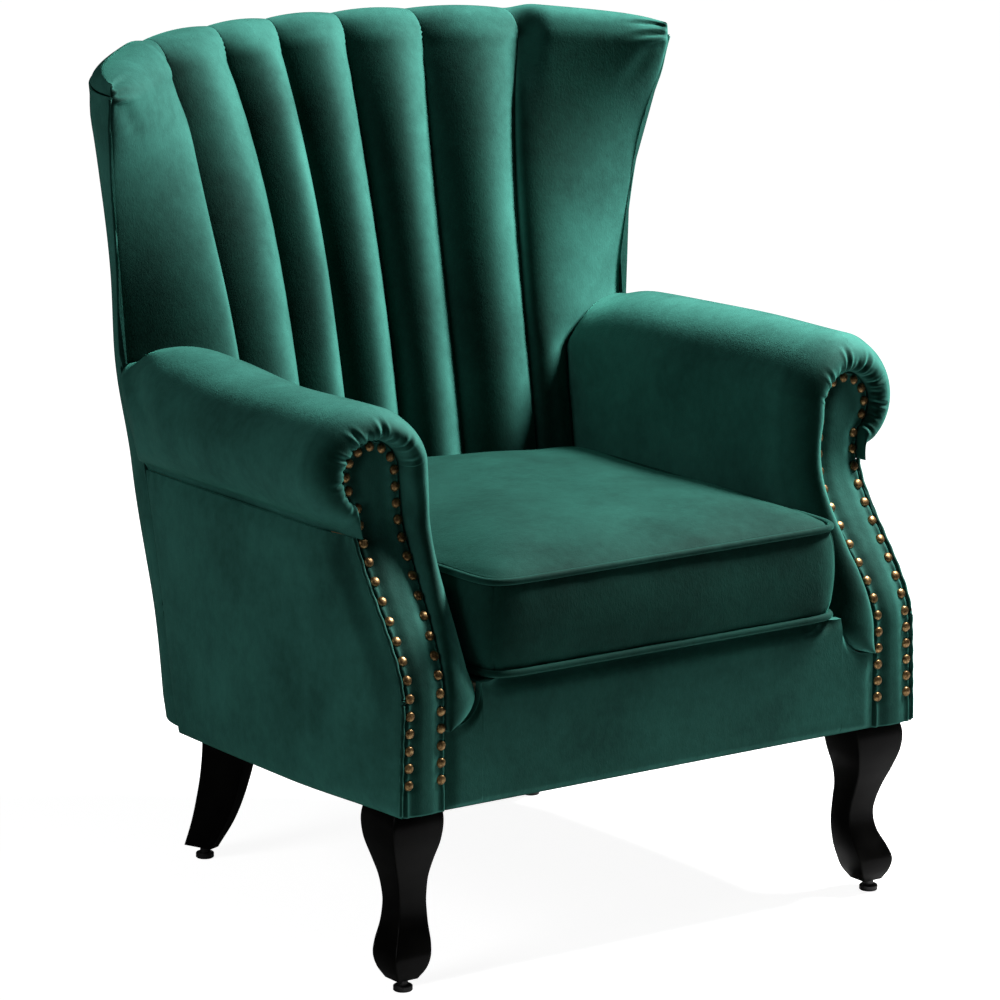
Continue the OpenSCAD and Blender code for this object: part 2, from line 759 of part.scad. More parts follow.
module lower_back_rail() {
  color(plywood) curved_rail(low_rail_z, low_rail_h, post_x0);
}

// Webbing
seat_strap_side_shares = [-0.66, -0.364, -0.131, 0.131, 0.364, 0.66];
seat_strap_shares = [0.12, 0.31, 0.50, 0.69, 0.88];
module seat_webbing() {
  y0 = front_y + facing_t;
  y1 = shell_rear_y(frame_z) - shell_t - board_t;
  color(webbing_grey) {
    for (w = seat_strap_side_shares) {
      x = facing_out_x * w;
      reach = shell_inner_y(abs(x) + strap_w / 2, frame_z) - 2 * seat_gap;
      translate([x - strap_w / 2, y0, rail_top_z]) cube([strap_w, reach - y0, strap_t]);
    }
    for (s = seat_strap_shares)
      translate([-facing_out_x, lerp(y0 + stump_t, side_rail_rear_y, s) - strap_w / 2, rail_top_z + strap_t])
        cube([2 * facing_out_x, strap_w, strap_t]);
  }
}

strap_end = 4;
back_strap_low_z = low_rail_z + strap_end;
back_strap_high_z = top_rail_z + top_rail_h - strap_end;
back_strap_steps = 10;
function strap_ring(p, q, z) =
  let(
    across = unit(q - p),
    back = [0, strap_t, 0],
    mid = (p + q) / 2 + [0, channel_backing + 3 * seat_gap, 0]
  )
  [mid - across * strap_w / 2, mid + across * strap_w / 2,
   mid + across * strap_w / 2 + back, mid - across * strap_w / 2 + back];
module back_strap(k0, k1) {
  loft([for (i = [back_strap_steps:-1:0])
    let(
      z = lerp(back_strap_low_z, back_strap_high_z, i / back_strap_steps),
      p = k0 < 0 ? [-line_x(0, z), line_y(0, z), z] : [line_x(k0, z), line_y(k0, z), z]
    )
    strap_ring(p, [line_x(k1, z), line_y(k1, z), z], z)]);
}
module side_straps() {
  back_strap(0, 1);
  back_strap(1, 2);
}
module back_webbing() {
  color(webbing_grey) {
    back_strap(-1, 0);
    side_straps();
    left() side_straps();
  }
}

// Seat deck
deck_cloth_t = 1.2;
deck_half_w = wall_x - seat_gap;
deck_outline = [
  [-deck_half_w, front_y + facing_t + seat_gap], [deck_half_w, front_y + facing_t + seat_gap],
  [deck_half_w, inner_seam_y(2, deck_z)], [seam_x(1, deck_z), inner_seam_y(1, deck_z)],
  [-seam_x(1, deck_z), inner_seam_y(1, deck_z)], [-deck_half_w, inner_seam_y(2, deck_z)]
];
module deck_pad() {
  color(foam) plan_board(deck_outline, web_top_z, deck_z - deck_cloth_t);
}
module deck_cover() {
  color(velvet) plan_board(deck_outline, deck_z - deck_cloth_t, deck_z);
}

// Cloth under the frame, cut back round the legs
dust_t = 1;
dust_inset = 6;
module dust_outline() {
  x1 = facing_out_x - dust_inset;
  y0 = front_y + facing_t + dust_inset;
  polygon(concat([[-x1, y0], [x1, y0], [x1, side_rail_rear_y]], reversed(base_curve(dust_inset)),
    [[-x1, side_rail_rear_y]]));
}
module leg_clearance(side) {
  grown = front_leg_w + 2 * dust_inset;
  translate([side * (leg_outer_x - front_leg_w / 2), leg_outer_y + front_leg_w / 2])
    square(grown, center = true);
  translate([side * rear_leg_x, rear_leg_y])
    rotate(-side * rear_leg_turn)
      square([rear_leg_top_t + dust_inset, rear_leg_w + dust_inset], center = true);
}
module dust_cover() {
  color(lining)
    translate([0, 0, frame_z - seat_gap - dust_t])
      linear_extrude(height = dust_t)
        difference() {
          dust_outline();
          leg_clearance(1);
          leg_clearance(-1);
        }
}

// Cushion: a crowned box cushion whose sides draw in to its two welts
cushion_gap = 3.3;
cushion_half_w = wall_x - cushion_gap;
cushion_front_y = -overall_d / 2;
cushion_back_gap = 5;
cushion_rear_bow = 44;
bow_reach_share = 0.63;
function cushion_rear_y(z) =
  inner_seam_y(0, min(z, high_welt_z)) - channel_bulge - cushion_back_gap;
cushion_foot_z = deck_z + seat_gap;
low_welt_z = cushion_foot_z + 1.6 * welt_r;
high_welt_z = low_welt_z + cushion_box_h;
cushion_points = 40;
rim_inset = 2 * welt_r;
corner_power = 14;
function clamp11(t) = min(1, max(-1, t));
// Places round a square, closer together at its corners, drawn in to a rounded one
function cushion_ring(z, inset) =
  [for (j = [0:cushion_points - 1])
    let(
      eighth = 8 * (j + 0.5) / cushion_points,
      sx = sin(90 * clamp11(abs(eighth - 4) - 2)),
      sy = sin(90 * clamp11(2 - abs((eighth + 2) % 8 - 4))),
      power = lerp(corner_power, 3, clamp01(inset / cushion_half_w)),
      r = 1 / pow(pow(abs(sx), power) + pow(abs(sy), power), 1 / power),
      cx = sx * r,
      cy = sy * r,
      x = (cushion_half_w - inset) * cx,
      half_d = (cushion_rear_y(z) - cushion_front_y) / 2,
      y = cushion_front_y + half_d + (half_d - inset) * cy,
      bow = smooth(abs(x) / (cushion_half_w * bow_reach_share))
    )
    [x, y - cushion_rear_bow * bow * smooth(cy), z]];
welt_flank_shares = [[0, 2.1], [0.8, 1.85], [1.23, 1], [1.9, 0.3]];
crown_shares = [[0.06, 0.16], [0.14, 0.36], [0.26, 0.58], [0.42, 0.79], [0.6, 0.93], [0.78, 1]];
module seat_cushion() {
  rim = rim_inset + seat_gap;
  color(velvet)
    loft(concat(
      [cushion_ring(cushion_foot_z, cushion_half_w * 0.78)],
      [cushion_ring(cushion_foot_z, rim + 2 * welt_r)],
      [for (w = welt_flank_shares) cushion_ring(low_welt_z + welt_r * w[0], welt_r * w[1])],
      [cushion_ring((low_welt_z + high_welt_z) / 2, 0)],
      [for (w = reversed(welt_flank_shares)) cushion_ring(high_welt_z - welt_r * w[0], welt_r * w[1])],
      [for (c = crown_shares)
        cushion_ring(high_welt_z + cushion_crown * c[1], rim + cushion_half_w * c[0])]
    ));
}

// Welt cord round the cushion at one height
welt_sides = 6;
module cushion_welt(z) {
  path = cushion_ring(z, rim_inset - welt_r);
  n = len(path);
  rings = [for (i = [0:n - 1])
    let(
      along = unit(path[(i + 1) % n] - path[(i + n - 1) % n]),
      out = [along[1], -along[0], 0]
    )
    [for (j = [0:welt_sides - 1])
      let(a = 360 * j / welt_sides)
      path[i] + welt_r * (out * cos(a) + [0, 0, sin(a)])]];
  points = [for (r = rings) each r];
  total = n * welt_sides;
  color(velvet_light)
    polyhedron(points, [
      for (i = [0:n - 1], j = [0:welt_sides - 1])
        let(
          a = i * welt_sides + j,
          b = i * welt_sides + (j + 1) % welt_sides,
          c = (a + welt_sides) % total,
          d = (b + welt_sides) % total
        )
        each [[a, c, d], [a, d, b]]
    ], convexity = 6);
}
module cushion_top_welt() {
  cushion_welt(high_welt_z);
}
module cushion_bottom_welt() {
  cushion_welt(low_welt_z);
}

// Zip along the rear of the cushion's side, following its curve, with a pull at one end
zip_reach = 130;
zip_h = 22;
zip_t = 1.5;
pull_h = 7;
pull_shares = [0.78, 0.96];
mid_welt_z = (low_welt_z + high_welt_z) / 2;
function zip_path(up) =
  let(
    middle = cushion_ring(mid_welt_z, 0),
    z = mid_welt_z + up * (cushion_box_h / 2 - 1.9 * welt_r),
    edge = cushion_ring(z, 0.3 * welt_r)
  )
  [for (j = [0:cushion_points - 1])
    if (middle[j][1] > 0 && abs(middle[j][0]) < zip_reach)
      lerp(middle[j], edge[j], zip_h / 2 / abs(z - mid_welt_z))];
module cushion_zip() {
  low = zip_path(-1);
  high = zip_path(1);
  skin = [0, zip_t, 0];
  gap = [0, seat_gap, 0];
  n = len(low);
  color(lining) {
    loft([for (j = [0:n - 1])
      [low[j] + gap, high[j] + gap, high[j] + gap + skin, low[j] + gap + skin]]);
    loft([for (t = pull_shares)
      let(
        a = lerp(low[n - 2], low[n - 1], t) + 2 * gap + skin,
        b = lerp(high[n - 2], high[n - 1], t) + 2 * gap + skin,
        w = pull_h / zip_h / 2
      )
      [lerp(a, b, 0.5 - w), lerp(a, b, 0.5 + w),
       lerp(a, b, 0.5 + w) + skin, lerp(a, b, 0.5 - w) + skin]]);
  }
}

// Front legs: one shaped profile cut from two sides. Each pair is height share and offset share
// of the top width, from the outer face and from the inner face.
leg_foot_z = 13;
leg_outer_shares = [
  [0, -0.17], [0.06, -0.07], [0.13, -0.03], [0.20, -0.10], [0.30, -0.245], [0.40, -0.30],
  [0.48, -0.27], [0.58, -0.18], [0.68, -0.06], [0.79, 0.05], [0.88, 0.08], [0.94, 0.055], [1, -0.02]
];
leg_inner_shares = [
  [0, 0.38], [0.06, 0.26], [0.13, 0.19], [0.22, 0.13], [0.35, 0.10], [0.48, 0.12],
  [0.58, 0.14], [0.68, 0.11], [0.79, 0.03], [0.90, -0.02], [1, -0.03]
];
leg_rows = 28;
// Smooth value between hand-chosen pairs
function eased(table, t, i = 0) =
  i >= len(table) - 2 || t <= table[i + 1][0]
    ? let(
        p0 = table[max(i - 1, 0)], p1 = table[i], p2 = table[i + 1], p3 = table[min(i + 2, len(table) - 1)],
        w = p2[0] - p1[0],
        u = (t - p1[0]) / w,
        m1 = (p2[1] - p0[1]) / (p2[0] - p0[0]) * w,
        m2 = (p3[1] - p1[1]) / (p3[0] - p1[0]) * w
      )
      (2 * u * u * u - 3 * u * u + 1) * p1[1] + (u * u * u - 2 * u * u + u) * m1
      + (3 * u * u - 2 * u * u * u) * p2[1] + (u * u * u - u * u) * m2
    : eased(table, t, i + 1);
function leg_profile(outer, sense) =
  concat(
    [for (i = [0:leg_rows])
      let(t = i / leg_rows)
      [outer + sense * front_leg_w * eased(leg_outer_shares, t), lerp(leg_foot_z, frame_z, t)]],
    [for (i = [leg_rows:-1:0])
      let(t = i / leg_rows)
      [outer - sense * front_leg_w * (1 - eased(leg_inner_shares, t)), lerp(leg_foot_z, frame_z, t)]]
  );
leg_set_in = 2;
leg_set_back = 19;
leg_outer_x = facing_out_x - leg_set_in;
leg_outer_y = front_y + leg_set_back;
foot_side_share = 0.38;
foot_front_share = 0.33;
front_foot_x = leg_outer_x - front_leg_w * foot_side_share;
front_foot_y = leg_outer_y + front_leg_w * foot_front_share;
front_bolt_x = leg_outer_x - front_leg_w * 0.62;
front_bolt_y = leg_outer_y + front_leg_w * 0.78;
socket_travels = 3;
socket_h = socket_travels * foot_travel;
socket_r = 6;
bolt_leg_h = 45;
module front_right_leg() {
  reach = 2 * front_leg_w;
  color(lacquer)
    difference() {
      intersection() {
        front_board(leg_profile(leg_outer_x, 1), leg_outer_y - reach, leg_outer_y + reach);
        side_board(leg_profile(leg_outer_y, -1), leg_outer_x - reach, leg_outer_x + reach);
      }
      translate([front_foot_x, front_foot_y, leg_foot_z - cut])
        cylinder(h = socket_h + cut, r = socket_r, $fn = arc_fn);
      translate([front_bolt_x, front_bolt_y, frame_z - bolt_leg_h])
        cylinder(h = bolt_leg_h + cut, r = bolt_r, $fn = arc_fn);
    }
}

// Rear legs: a board sawn to a sabre curve, tapering to its foot and turned out a little
rear_leg_top_t = 30;
rear_leg_foot_t = 17;
rear_kick = 31;
rear_foot_lead = 5;
rear_rear_shares = [[0, 1], [0.15, 0.66], [0.3, 0.4], [0.48, 0.16], [0.68, 0.02], [1, 0]];
rear_front_shares = [[0, 0], [0.2, 0.42], [0.42, 0.72], [0.65, 0.92], [1, 1]];
rear_foot_w = 38;
rear_rows = 20;
module rear_leg_shape() {
  back_edge = [for (i = [0:rear_rows])
    let(t = i / rear_rows)
    [rear_leg_w / 2 + rear_kick * eased(rear_rear_shares, t), lerp(leg_foot_z, frame_z, t)]];
  front_edge = [for (i = [rear_rows:-1:0])
    let(t = i / rear_rows)
    [lerp(rear_leg_w / 2 + rear_kick - rear_foot_w, -rear_leg_w / 2, eased(rear_front_shares, t)),
     lerp(leg_foot_z, frame_z, t)]];
  intersection() {
    side_board(concat(back_edge, front_edge), -rear_leg_w, rear_leg_w);
    front_board(
      [[-rear_leg_foot_t / 2, leg_foot_z], [rear_leg_foot_t / 2, leg_foot_z],
       [rear_leg_top_t / 2, frame_z], [-rear_leg_top_t / 2, frame_z]],
      -2 * rear_leg_w, 2 * rear_leg_w);
  }
}
// The leg's top is cut back where the outside cover turns under
module leg_rebate() {
  plan_board(
    concat(reversed(base_curve(0)), [[-overall_w, rear_y], [overall_w, rear_y]]),
    body_bottom_z - seat_gap, frame_z + cut);
}
rear_foot_along = rear_leg_w / 2 + rear_kick - rear_foot_w / 2 - rear_foot_lead;
rear_foot_x = rear_leg_x + rear_foot_along * sin(rear_leg_turn);
rear_foot_y = rear_leg_y + rear_foot_along * cos(rear_leg_turn);
module rear_right_leg() {
  color(lacquer)
    difference() {
      translate([rear_leg_x, rear_leg_y, 0]) rotate([0, 0, -rear_leg_turn]) rear_leg_shape();
      translate([rear_foot_x, rear_foot_y, leg_foot_z - cut])
        cylinder(h = socket_h + cut, r = socket_r, $fn = arc_fn);
      translate([rear_bolt_x, rear_bolt_y, frame_z - bolt_leg_h])
        cylinder(h = bolt_leg_h + cut, r = bolt_r, $fn = arc_fn);
      leg_rebate();
    }
}

// Bolts from the corner blocks down into the legs
nut_h = 6;
nut_r = 7;
module leg_bolt(x, y) {
  washer_t = strap_t;
  translate([x, y, frame_z - bolt_leg_h])
    cylinder(h = bolt_leg_h + block_h + washer_t + nut_h, r = bolt_r, $fn = arc_fn);
  translate([x, y, frame_z + block_h]) cylinder(h = washer_t, r = 1.5 * nut_r, $fn = arc_fn);
  translate([x, y, frame_z + block_h + washer_t]) cylinder(h = nut_h, r = nut_r, $fn = 6);
}
module leg_bolts() {
  color(steel)
    for (side = [-1, 1]) {
      leg_bolt(side * front_bolt_x, front_bolt_y);
      leg_bolt(side * rear_bolt_x, rear_bolt_y);
    }
}

// Threaded inserts in the feet of the legs
stud_r = 3;
stud_gap = 0.05;
module leg_insert(x, y) {
  translate([x, y, leg_foot_z])
    difference() {
      cylinder(h = socket_h, r = socket_r, $fn = arc_fn);
      translate([0, 0, -cut]) cylinder(h = socket_h + 2 * cut, r = stud_r + stud_gap, $fn = arc_fn);
    }
}
module leg_inserts() {
  color(steel)
    for (side = [-1, 1]) {
      leg_insert(side * front_foot_x, front_foot_y);
      leg_insert(side * rear_foot_x, rear_foot_y);
    }
}

// Levelling feet
foot_disc_h = 6.5;
foot_neck_r = 5.5;
foot_edge = 1;
stud_base_z = 3;
module foot(x, y) {
  color(plastic)
    translate([x, y, 0])
      rotate_extrude($fn = arc_fn)
        polygon([
          [0, 0], [foot_r - foot_edge, 0], [foot_r, foot_edge], [foot_r, foot_disc_h - foot_edge],
          [foot_r - foot_edge, foot_disc_h], [foot_neck_r, foot_disc_h],
          [foot_neck_r, leg_foot_z - seat_gap], [stud_r, leg_foot_z - seat_gap], [stud_r, stud_base_z],
          [0, stud_base_z]
        ]);
}
module stud(x, y) {
  color(steel)
    translate([x, y, stud_base_z])
      cylinder(h = leg_foot_z + socket_h - stud_base_z - stud_gap, r = stud_r, $fn = arc_fn);
}

front_rail();
back_base_rail();
left() right_side_rail();  // left_side_rail
right_side_rail();
corner_blocks();
left() right_arm_stump();  // left_arm_stump
right_arm_stump();
left() right_arm_rail();  // left_arm_rail
right_arm_rail();
left() right_back_post();  // left_back_post
right_back_post();
back_top_rail();
lower_back_rail();
left() right_wing_post();  // left_wing_post
right_wing_post();
left() right_wing_frame();  // left_wing_frame
right_wing_frame();
seat_webbing();
back_webbing();
deck_pad();
deck_cover();
dust_cover();
center_channel();
left() right_inner_channel();  // left_inner_channel
right_inner_channel();
left() right_outer_channel();  // left_outer_channel
right_outer_channel();
left() right_wing_pad();  // left_wing_pad
right_wing_pad();
outside_back();
left() right_arm_pad();  // left_arm_pad
right_arm_pad();
left() right_side_panel();  // left_side_panel
right_side_panel();
left() right_arm_facing();  // left_arm_facing
right_arm_facing();
left() right_nailheads();  // left_nailheads
right_nailheads();
front_apron();
seat_cushion();
cushion_top_welt();
cushion_bottom_welt();
cushion_zip();
left() front_right_leg();  // front_left_leg
front_right_leg();
left() rear_right_leg();  // rear_left_leg
rear_right_leg();
leg_bolts();
leg_inserts();
foot(-front_foot_x, front_foot_y);  // front_left_foot
foot(front_foot_x, front_foot_y);  // front_right_foot
foot(-rear_foot_x, rear_foot_y);  // rear_left_foot
foot(rear_foot_x, rear_foot_y);  // rear_right_foot
stud(-front_foot_x, front_foot_y);  // front_left_stud
stud(front_foot_x, front_foot_y);  // front_right_stud
stud(-rear_foot_x, rear_foot_y);  // rear_left_stud
stud(rear_foot_x, rear_foot_y);  // rear_right_stud
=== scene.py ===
# %% [markdown]
# # A channel-back wing armchair in velvet
# The chair already exists as an exact frame of solids: boards, rails, pads, legs. This lesson dresses
# that frame the way an upholsterer would. It loads the frame first. Cloth may stand only a little
# proud of it.

# %% Load the frame
import math

import bmesh
import bpy
import numpy as np
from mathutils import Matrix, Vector


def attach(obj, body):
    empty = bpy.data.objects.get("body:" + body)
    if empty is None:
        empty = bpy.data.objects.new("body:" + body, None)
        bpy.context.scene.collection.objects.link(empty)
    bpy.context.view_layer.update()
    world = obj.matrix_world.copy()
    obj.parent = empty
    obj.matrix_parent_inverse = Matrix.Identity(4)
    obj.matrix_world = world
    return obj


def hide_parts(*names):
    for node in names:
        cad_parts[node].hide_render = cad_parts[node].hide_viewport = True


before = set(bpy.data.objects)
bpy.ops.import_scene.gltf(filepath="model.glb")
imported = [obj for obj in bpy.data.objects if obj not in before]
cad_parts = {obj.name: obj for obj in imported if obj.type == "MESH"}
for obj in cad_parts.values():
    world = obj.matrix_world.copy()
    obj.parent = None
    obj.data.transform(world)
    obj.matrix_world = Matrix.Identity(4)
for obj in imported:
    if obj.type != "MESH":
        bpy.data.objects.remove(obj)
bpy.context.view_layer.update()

# %% [markdown]
# ## Curves through a few chosen values
# Upholstery is full of slow changes: a back that leans a little more as it rises, a leg that swells at
# its knee. A short table of listed values says such a change best. `through` draws one smooth
# curve through a table, and `smooth` eases from 0 to 1. Where a skin bends most at its two edges,
# `packed` puts its points closer together there. Everything is written in millimetres, the unit that a
# chair maker uses, and turned into metres only when a mesh is made.

# %% Curves and blends
MM = 0.001


def lerp(a, b, t):
    return a + (b - a) * t


def clamp(t, low=0.0, high=1.0):
    return min(high, max(low, t))


def smooth(t):
    t = clamp(t)
    return t * t * (3 - 2 * t)


def through(table, t):
    """A smooth curve through the pairs of a table, level beyond its ends."""
    t = clamp(t, table[0][0], table[-1][0])
    i = 0
    while i < len(table) - 2 and t > table[i + 1][0]:
        i += 1
    p0, p1 = table[max(i - 1, 0)], table[i]
    p2, p3 = table[i + 1], table[min(i + 2, len(table) - 1)]
    w = p2[0] - p1[0]
    u = (t - p1[0]) / w
    m1 = (p2[1] - p0[1]) / (p2[0] - p0[0]) * w
    m2 = (p3[1] - p1[1]) / (p3[0] - p1[0]) * w
    return (
        (2 * u**3 - 3 * u**2 + 1) * p1[1] + (u**3 - 2 * u**2 + u) * m1
        + (3 * u**2 - 2 * u**3) * p2[1] + (u**3 - u**2) * m2
    )


def packed(n):
    """Shares from 0 to 1 that lie closer together towards both ends."""
    return [(1 - math.cos(math.pi * i / n)) / 2 for i in range(n + 1)]


def rounded_path(points, steps):
    """More points on a smooth line through the given ones."""
    p = np.array(points, float)
    out = []
    for i in range(len(p) - 1):
        a, b, c, d = p[max(i - 1, 0)], p[i], p[i + 1], p[min(i + 2, len(p) - 1)]
        for j in range(steps):
            u = j / steps
            out.append(0.5 * (2 * b + (c - a) * u + (2 * a - 5 * b + 4 * c - d) * u**2
                              + (3 * b - a - 3 * c + d) * u**3))
    out.append(p[-1])
    return np.array(out)


print("halfway eased:", smooth(0.5))

# %% [markdown]
# ## Skins from rows of points
# Almost every soft piece here is a skin stretched over rows of points: each row is a line across the
# piece, and the rows follow each other along it. One helper turns such a grid into a mesh with shared
# corners, so that Blender can shade it smoothly. The same helper closes a row into a ring, and caps
# the two ends, which makes a closed pad.

# %% A helper for skins
def skin_mesh(name, grid, ring=False, loop=False, caps=False, sharp=None):
    """A mesh object from an array of rows of points in millimetres."""
    grid = np.array(grid, float)
    rows, cols = grid.shape[:2]
    bm = bmesh.new()
    v = [[bm.verts.new(point * MM) for point in row] for row in grid]
    for i in range(rows if loop else rows - 1):
        for j in range(cols if ring else cols - 1):
            i2, j2 = (i + 1) % rows, (j + 1) % cols
            bm.faces.new((v[i][j], v[i][j2], v[i2][j2], v[i2][j]))
    if caps and loop:
        bm.faces.new([v[i][0] for i in range(rows)])
        bm.faces.new([v[i][cols - 1] for i in reversed(range(rows))])
    elif caps:
        bm.faces.new(list(reversed(v[0])))
        bm.faces.new(v[rows - 1])
    bmesh.ops.remove_doubles(bm, verts=bm.verts, dist=1e-6)
    bmesh.ops.recalc_face_normals(bm, faces=bm.faces)
    return finished_mesh(name, bm, sharp)


def finished_mesh(name, bm, sharp):
    """Smooth shading, but for edges that turn by more than `sharp` degrees."""
    for f in bm.faces:
        f.smooth = True
    if sharp:
        for e in bm.edges:
            if len(e.link_faces) == 2 and e.calc_face_angle() > math.radians(sharp):
                e.smooth = False
    return placed(name, bm)


def placed(name, bm):
    """The mesh as an object of the scene."""
    mesh = bpy.data.meshes.new(name)
    bm.to_mesh(mesh)
    bm.free()
    made = bpy.data.objects.new(name, mesh)
    bpy.context.scene.collection.objects.link(made)
    return made


def pushed(grid, amounts, ring=False):
    """The grid with each point moved along the skin's own direction, by an array in millimetres."""
    g = np.array(grid, float)
    along = np.gradient(g, axis=0)
    if ring:
        across = (np.roll(g, -1, axis=1) - np.roll(g, 1, axis=1)) / 2
    else:
        across = np.gradient(g, axis=1)
    n = np.cross(across, along)
    n /= np.maximum(np.linalg.norm(n, axis=2, keepdims=True), 1e-9)
    return g + n * np.array(amounts)[..., None]


def mirrored(points):
    return np.array(points, float) * [-1, 1, 1]


SIDES = {"right": 1, "left": -1}


def on_side(points, side):
    """Points of the right side, or their mirror image for the left one."""
    return np.array(points, float) if SIDES[side] > 0 else mirrored(points)


def joined(name, pieces):
    """Several meshes made into one piece."""
    bm = bmesh.new()
    for p in pieces:
        bm.from_mesh(p.data)
        bpy.data.objects.remove(p)
    return placed(name, bm)


print("skins, mirrored skins and joined skins are ready")

# %% [markdown]
# ## A cord laid along a line
# Piping and welts are cords wrapped in the same cloth. A tube of a few millimetres follows a line of
# points. The tube is built in mesh code instead of a bevelled curve, because a mesh keeps its exact
# width at tight corners and can be joined to the cover that it is sewn to.

# %% A helper for cords
def cord_mesh(name, line, radius, closed=False, sides=10):
    """A tube round a line of points. `up` keeps its rows from twisting."""
    line = np.array(line, float)
    if closed:
        along = np.roll(line, -1, axis=0) - np.roll(line, 1, axis=0)
    else:
        along = np.gradient(line, axis=0)
    along /= np.linalg.norm(along, axis=1, keepdims=True)
    up = np.array([0.0, 0.0, 1.0])
    turns = [2 * math.pi * k / sides for k in range(sides)]
    rows = []
    for p, a in zip(line, along):
        side = np.cross(a, up)
        if np.linalg.norm(side) < 0.2:
            side = np.cross(a, [0.0, 1.0, 0.0])
        side /= np.linalg.norm(side)
        over = np.cross(side, a)
        rows.append([p + radius * (side * math.cos(t) + over * math.sin(t)) for t in turns])
    return skin_mesh(name, rows, ring=True, loop=closed, caps=not closed)


print("cords are ready")

# %% [markdown]
# ## Shader sums written as Python
# A finish is a small graph of nodes. Written out node by node, a sum such as `1 - mask * 0.3` takes a
# dozen lines. So one small class wraps a socket and overloads the operators: an expression adds its
# Math nodes by itself. Colours and directions aren't numbers, so they have their own calls.

# %% Sockets that can be added and multiplied
class Wire:
    def __init__(self, finish, socket):
        self.finish, self.socket = finish, socket

    def _math(self, operation, a, b):
        return self.finish.add("ShaderNodeMath", {"operation": operation}, {0: a, 1: b})

    def __add__(self, other):
        return self._math("ADD", self, other)

    def __radd__(self, other):
        return self._math("ADD", other, self)

    def __sub__(self, other):
        return self._math("SUBTRACT", self, other)

    def __rsub__(self, other):
        return self._math("SUBTRACT", other, self)

    def __mul__(self, other):
        return self._math("MULTIPLY", self, other)

    def __rmul__(self, other):
        return self._math("MULTIPLY", other, self)


class Finish:
    """A material, and the one method that adds any node to it."""

    def __init__(self, name):
        self.material = bpy.data.materials.new(name)
        self.material.use_nodes = True
        self.tree = self.material.node_tree
        self.shader = self.tree.nodes["Principled BSDF"]

    def add(self, kind, settings=None, inputs=None, output=0):
        node = self.tree.nodes.new(kind)
        for key, value in (settings or {}).items():
            if key == "stops":
                ramp = node.color_ramp.elements
                while len(ramp) < len(value):
                    ramp.new(0.5)
                for stop, (place, colour) in zip(ramp, value):
                    stop.position, stop.color = place, (*colour, 1)
            else:
                setattr(node, key, value)
        for key, value in (inputs or {}).items():
            self.feed(node.inputs[key], value)
        return Wire(self, node.outputs[output])

    def feed(self, socket, value):
        if isinstance(value, Wire):
            self.tree.links.new(value.socket, socket)
        else:
            socket.default_value = value

    def place(self, scale=(1, 1, 1)):
        """The point of the surface in metres, stretched along an axis where a scale is below 1."""
        where = self.add("ShaderNodeTexCoord", output=3)
        return self.add("ShaderNodeMapping", {}, {"Vector": where, "Scale": scale})

    def noise(self, size, detail=2.0, rough=0.5, where=None, scale=(1, 1, 1)):
        """Soft spots about `size` metres across."""
        return self.add("ShaderNodeTexNoise", {"noise_dimensions": "3D"}, {
            "Vector": where or self.place(scale), "Scale": 1 / size, "Detail": detail, "Roughness": rough})

    def ramp(self, value, stops):
        return self.add("ShaderNodeValToRGB", {"stops": stops}, {"Fac": value})

    def blend(self, factor, a, b):
        return self.add("ShaderNodeMix", {"data_type": "RGBA"}, {0: factor, 6: a, 7: b}, output=2)

    def bump(self, height, depth, strength):
        return self.add("ShaderNodeBump", {}, {
            "Height": height, "Distance": depth, "Strength": strength})

    def set(self, **sockets):
        for key, value in sockets.items():
            self.feed(self.shader.inputs[key.replace("_", " ")], value)
        return self.material


def rgb(red, green, blue):
    """A colour as a picture shows it, turned into the linear light that a shader wants."""
    return tuple(c / 12.92 if c <= 0.04045 else ((c + 0.055) / 1.055) ** 2.4
                 for c in (red / 255, green / 255, blue / 255))


print("mid green in linear light:", [round(c, 3) for c in rgb(20, 78, 62)])

# %% [markdown]
# ## Velvet
# Velvet is a dense pile of short fibres that stand up from the cloth. Seen from above the light falls
# between the fibres and the cloth looks deep. Seen along the surface, the sides of the fibres catch
# the light and it turns bright and a little bluer. That brightness is a painted sheen here: a Layer
# Weight node tells how far the surface turns away from the view, and mixes a bright colour into the
# base colour there, and a little real sheen of the shader helps at the very edge. The pile is also
# brushed this way and that, so soft cloudy patches run through the colour, and a fine grain breaks up
# the highlights. The cushion's copy gets much less of the painted sheen, so it stays darker.

# %% The colours and sizes of velvet
VELVET_DEEP, VELVET_LIGHT = rgb(1, 34, 27), rgb(8, 56, 46)
# The first colour is a painted sheen for the base colour; the second tints the shader's real sheen.
VELVET_PAINTED_SHEEN, VELVET_SHEEN = rgb(108, 205, 188), rgb(96, 208, 184)
CLOUD_SIZE, STROKE_SIZE, PILE_SIZE = 0.11, 0.012, 0.0021
PILE_DEPTH = 0.0009
print("one tuft of pile, mm:", round(PILE_SIZE / MM, 1))


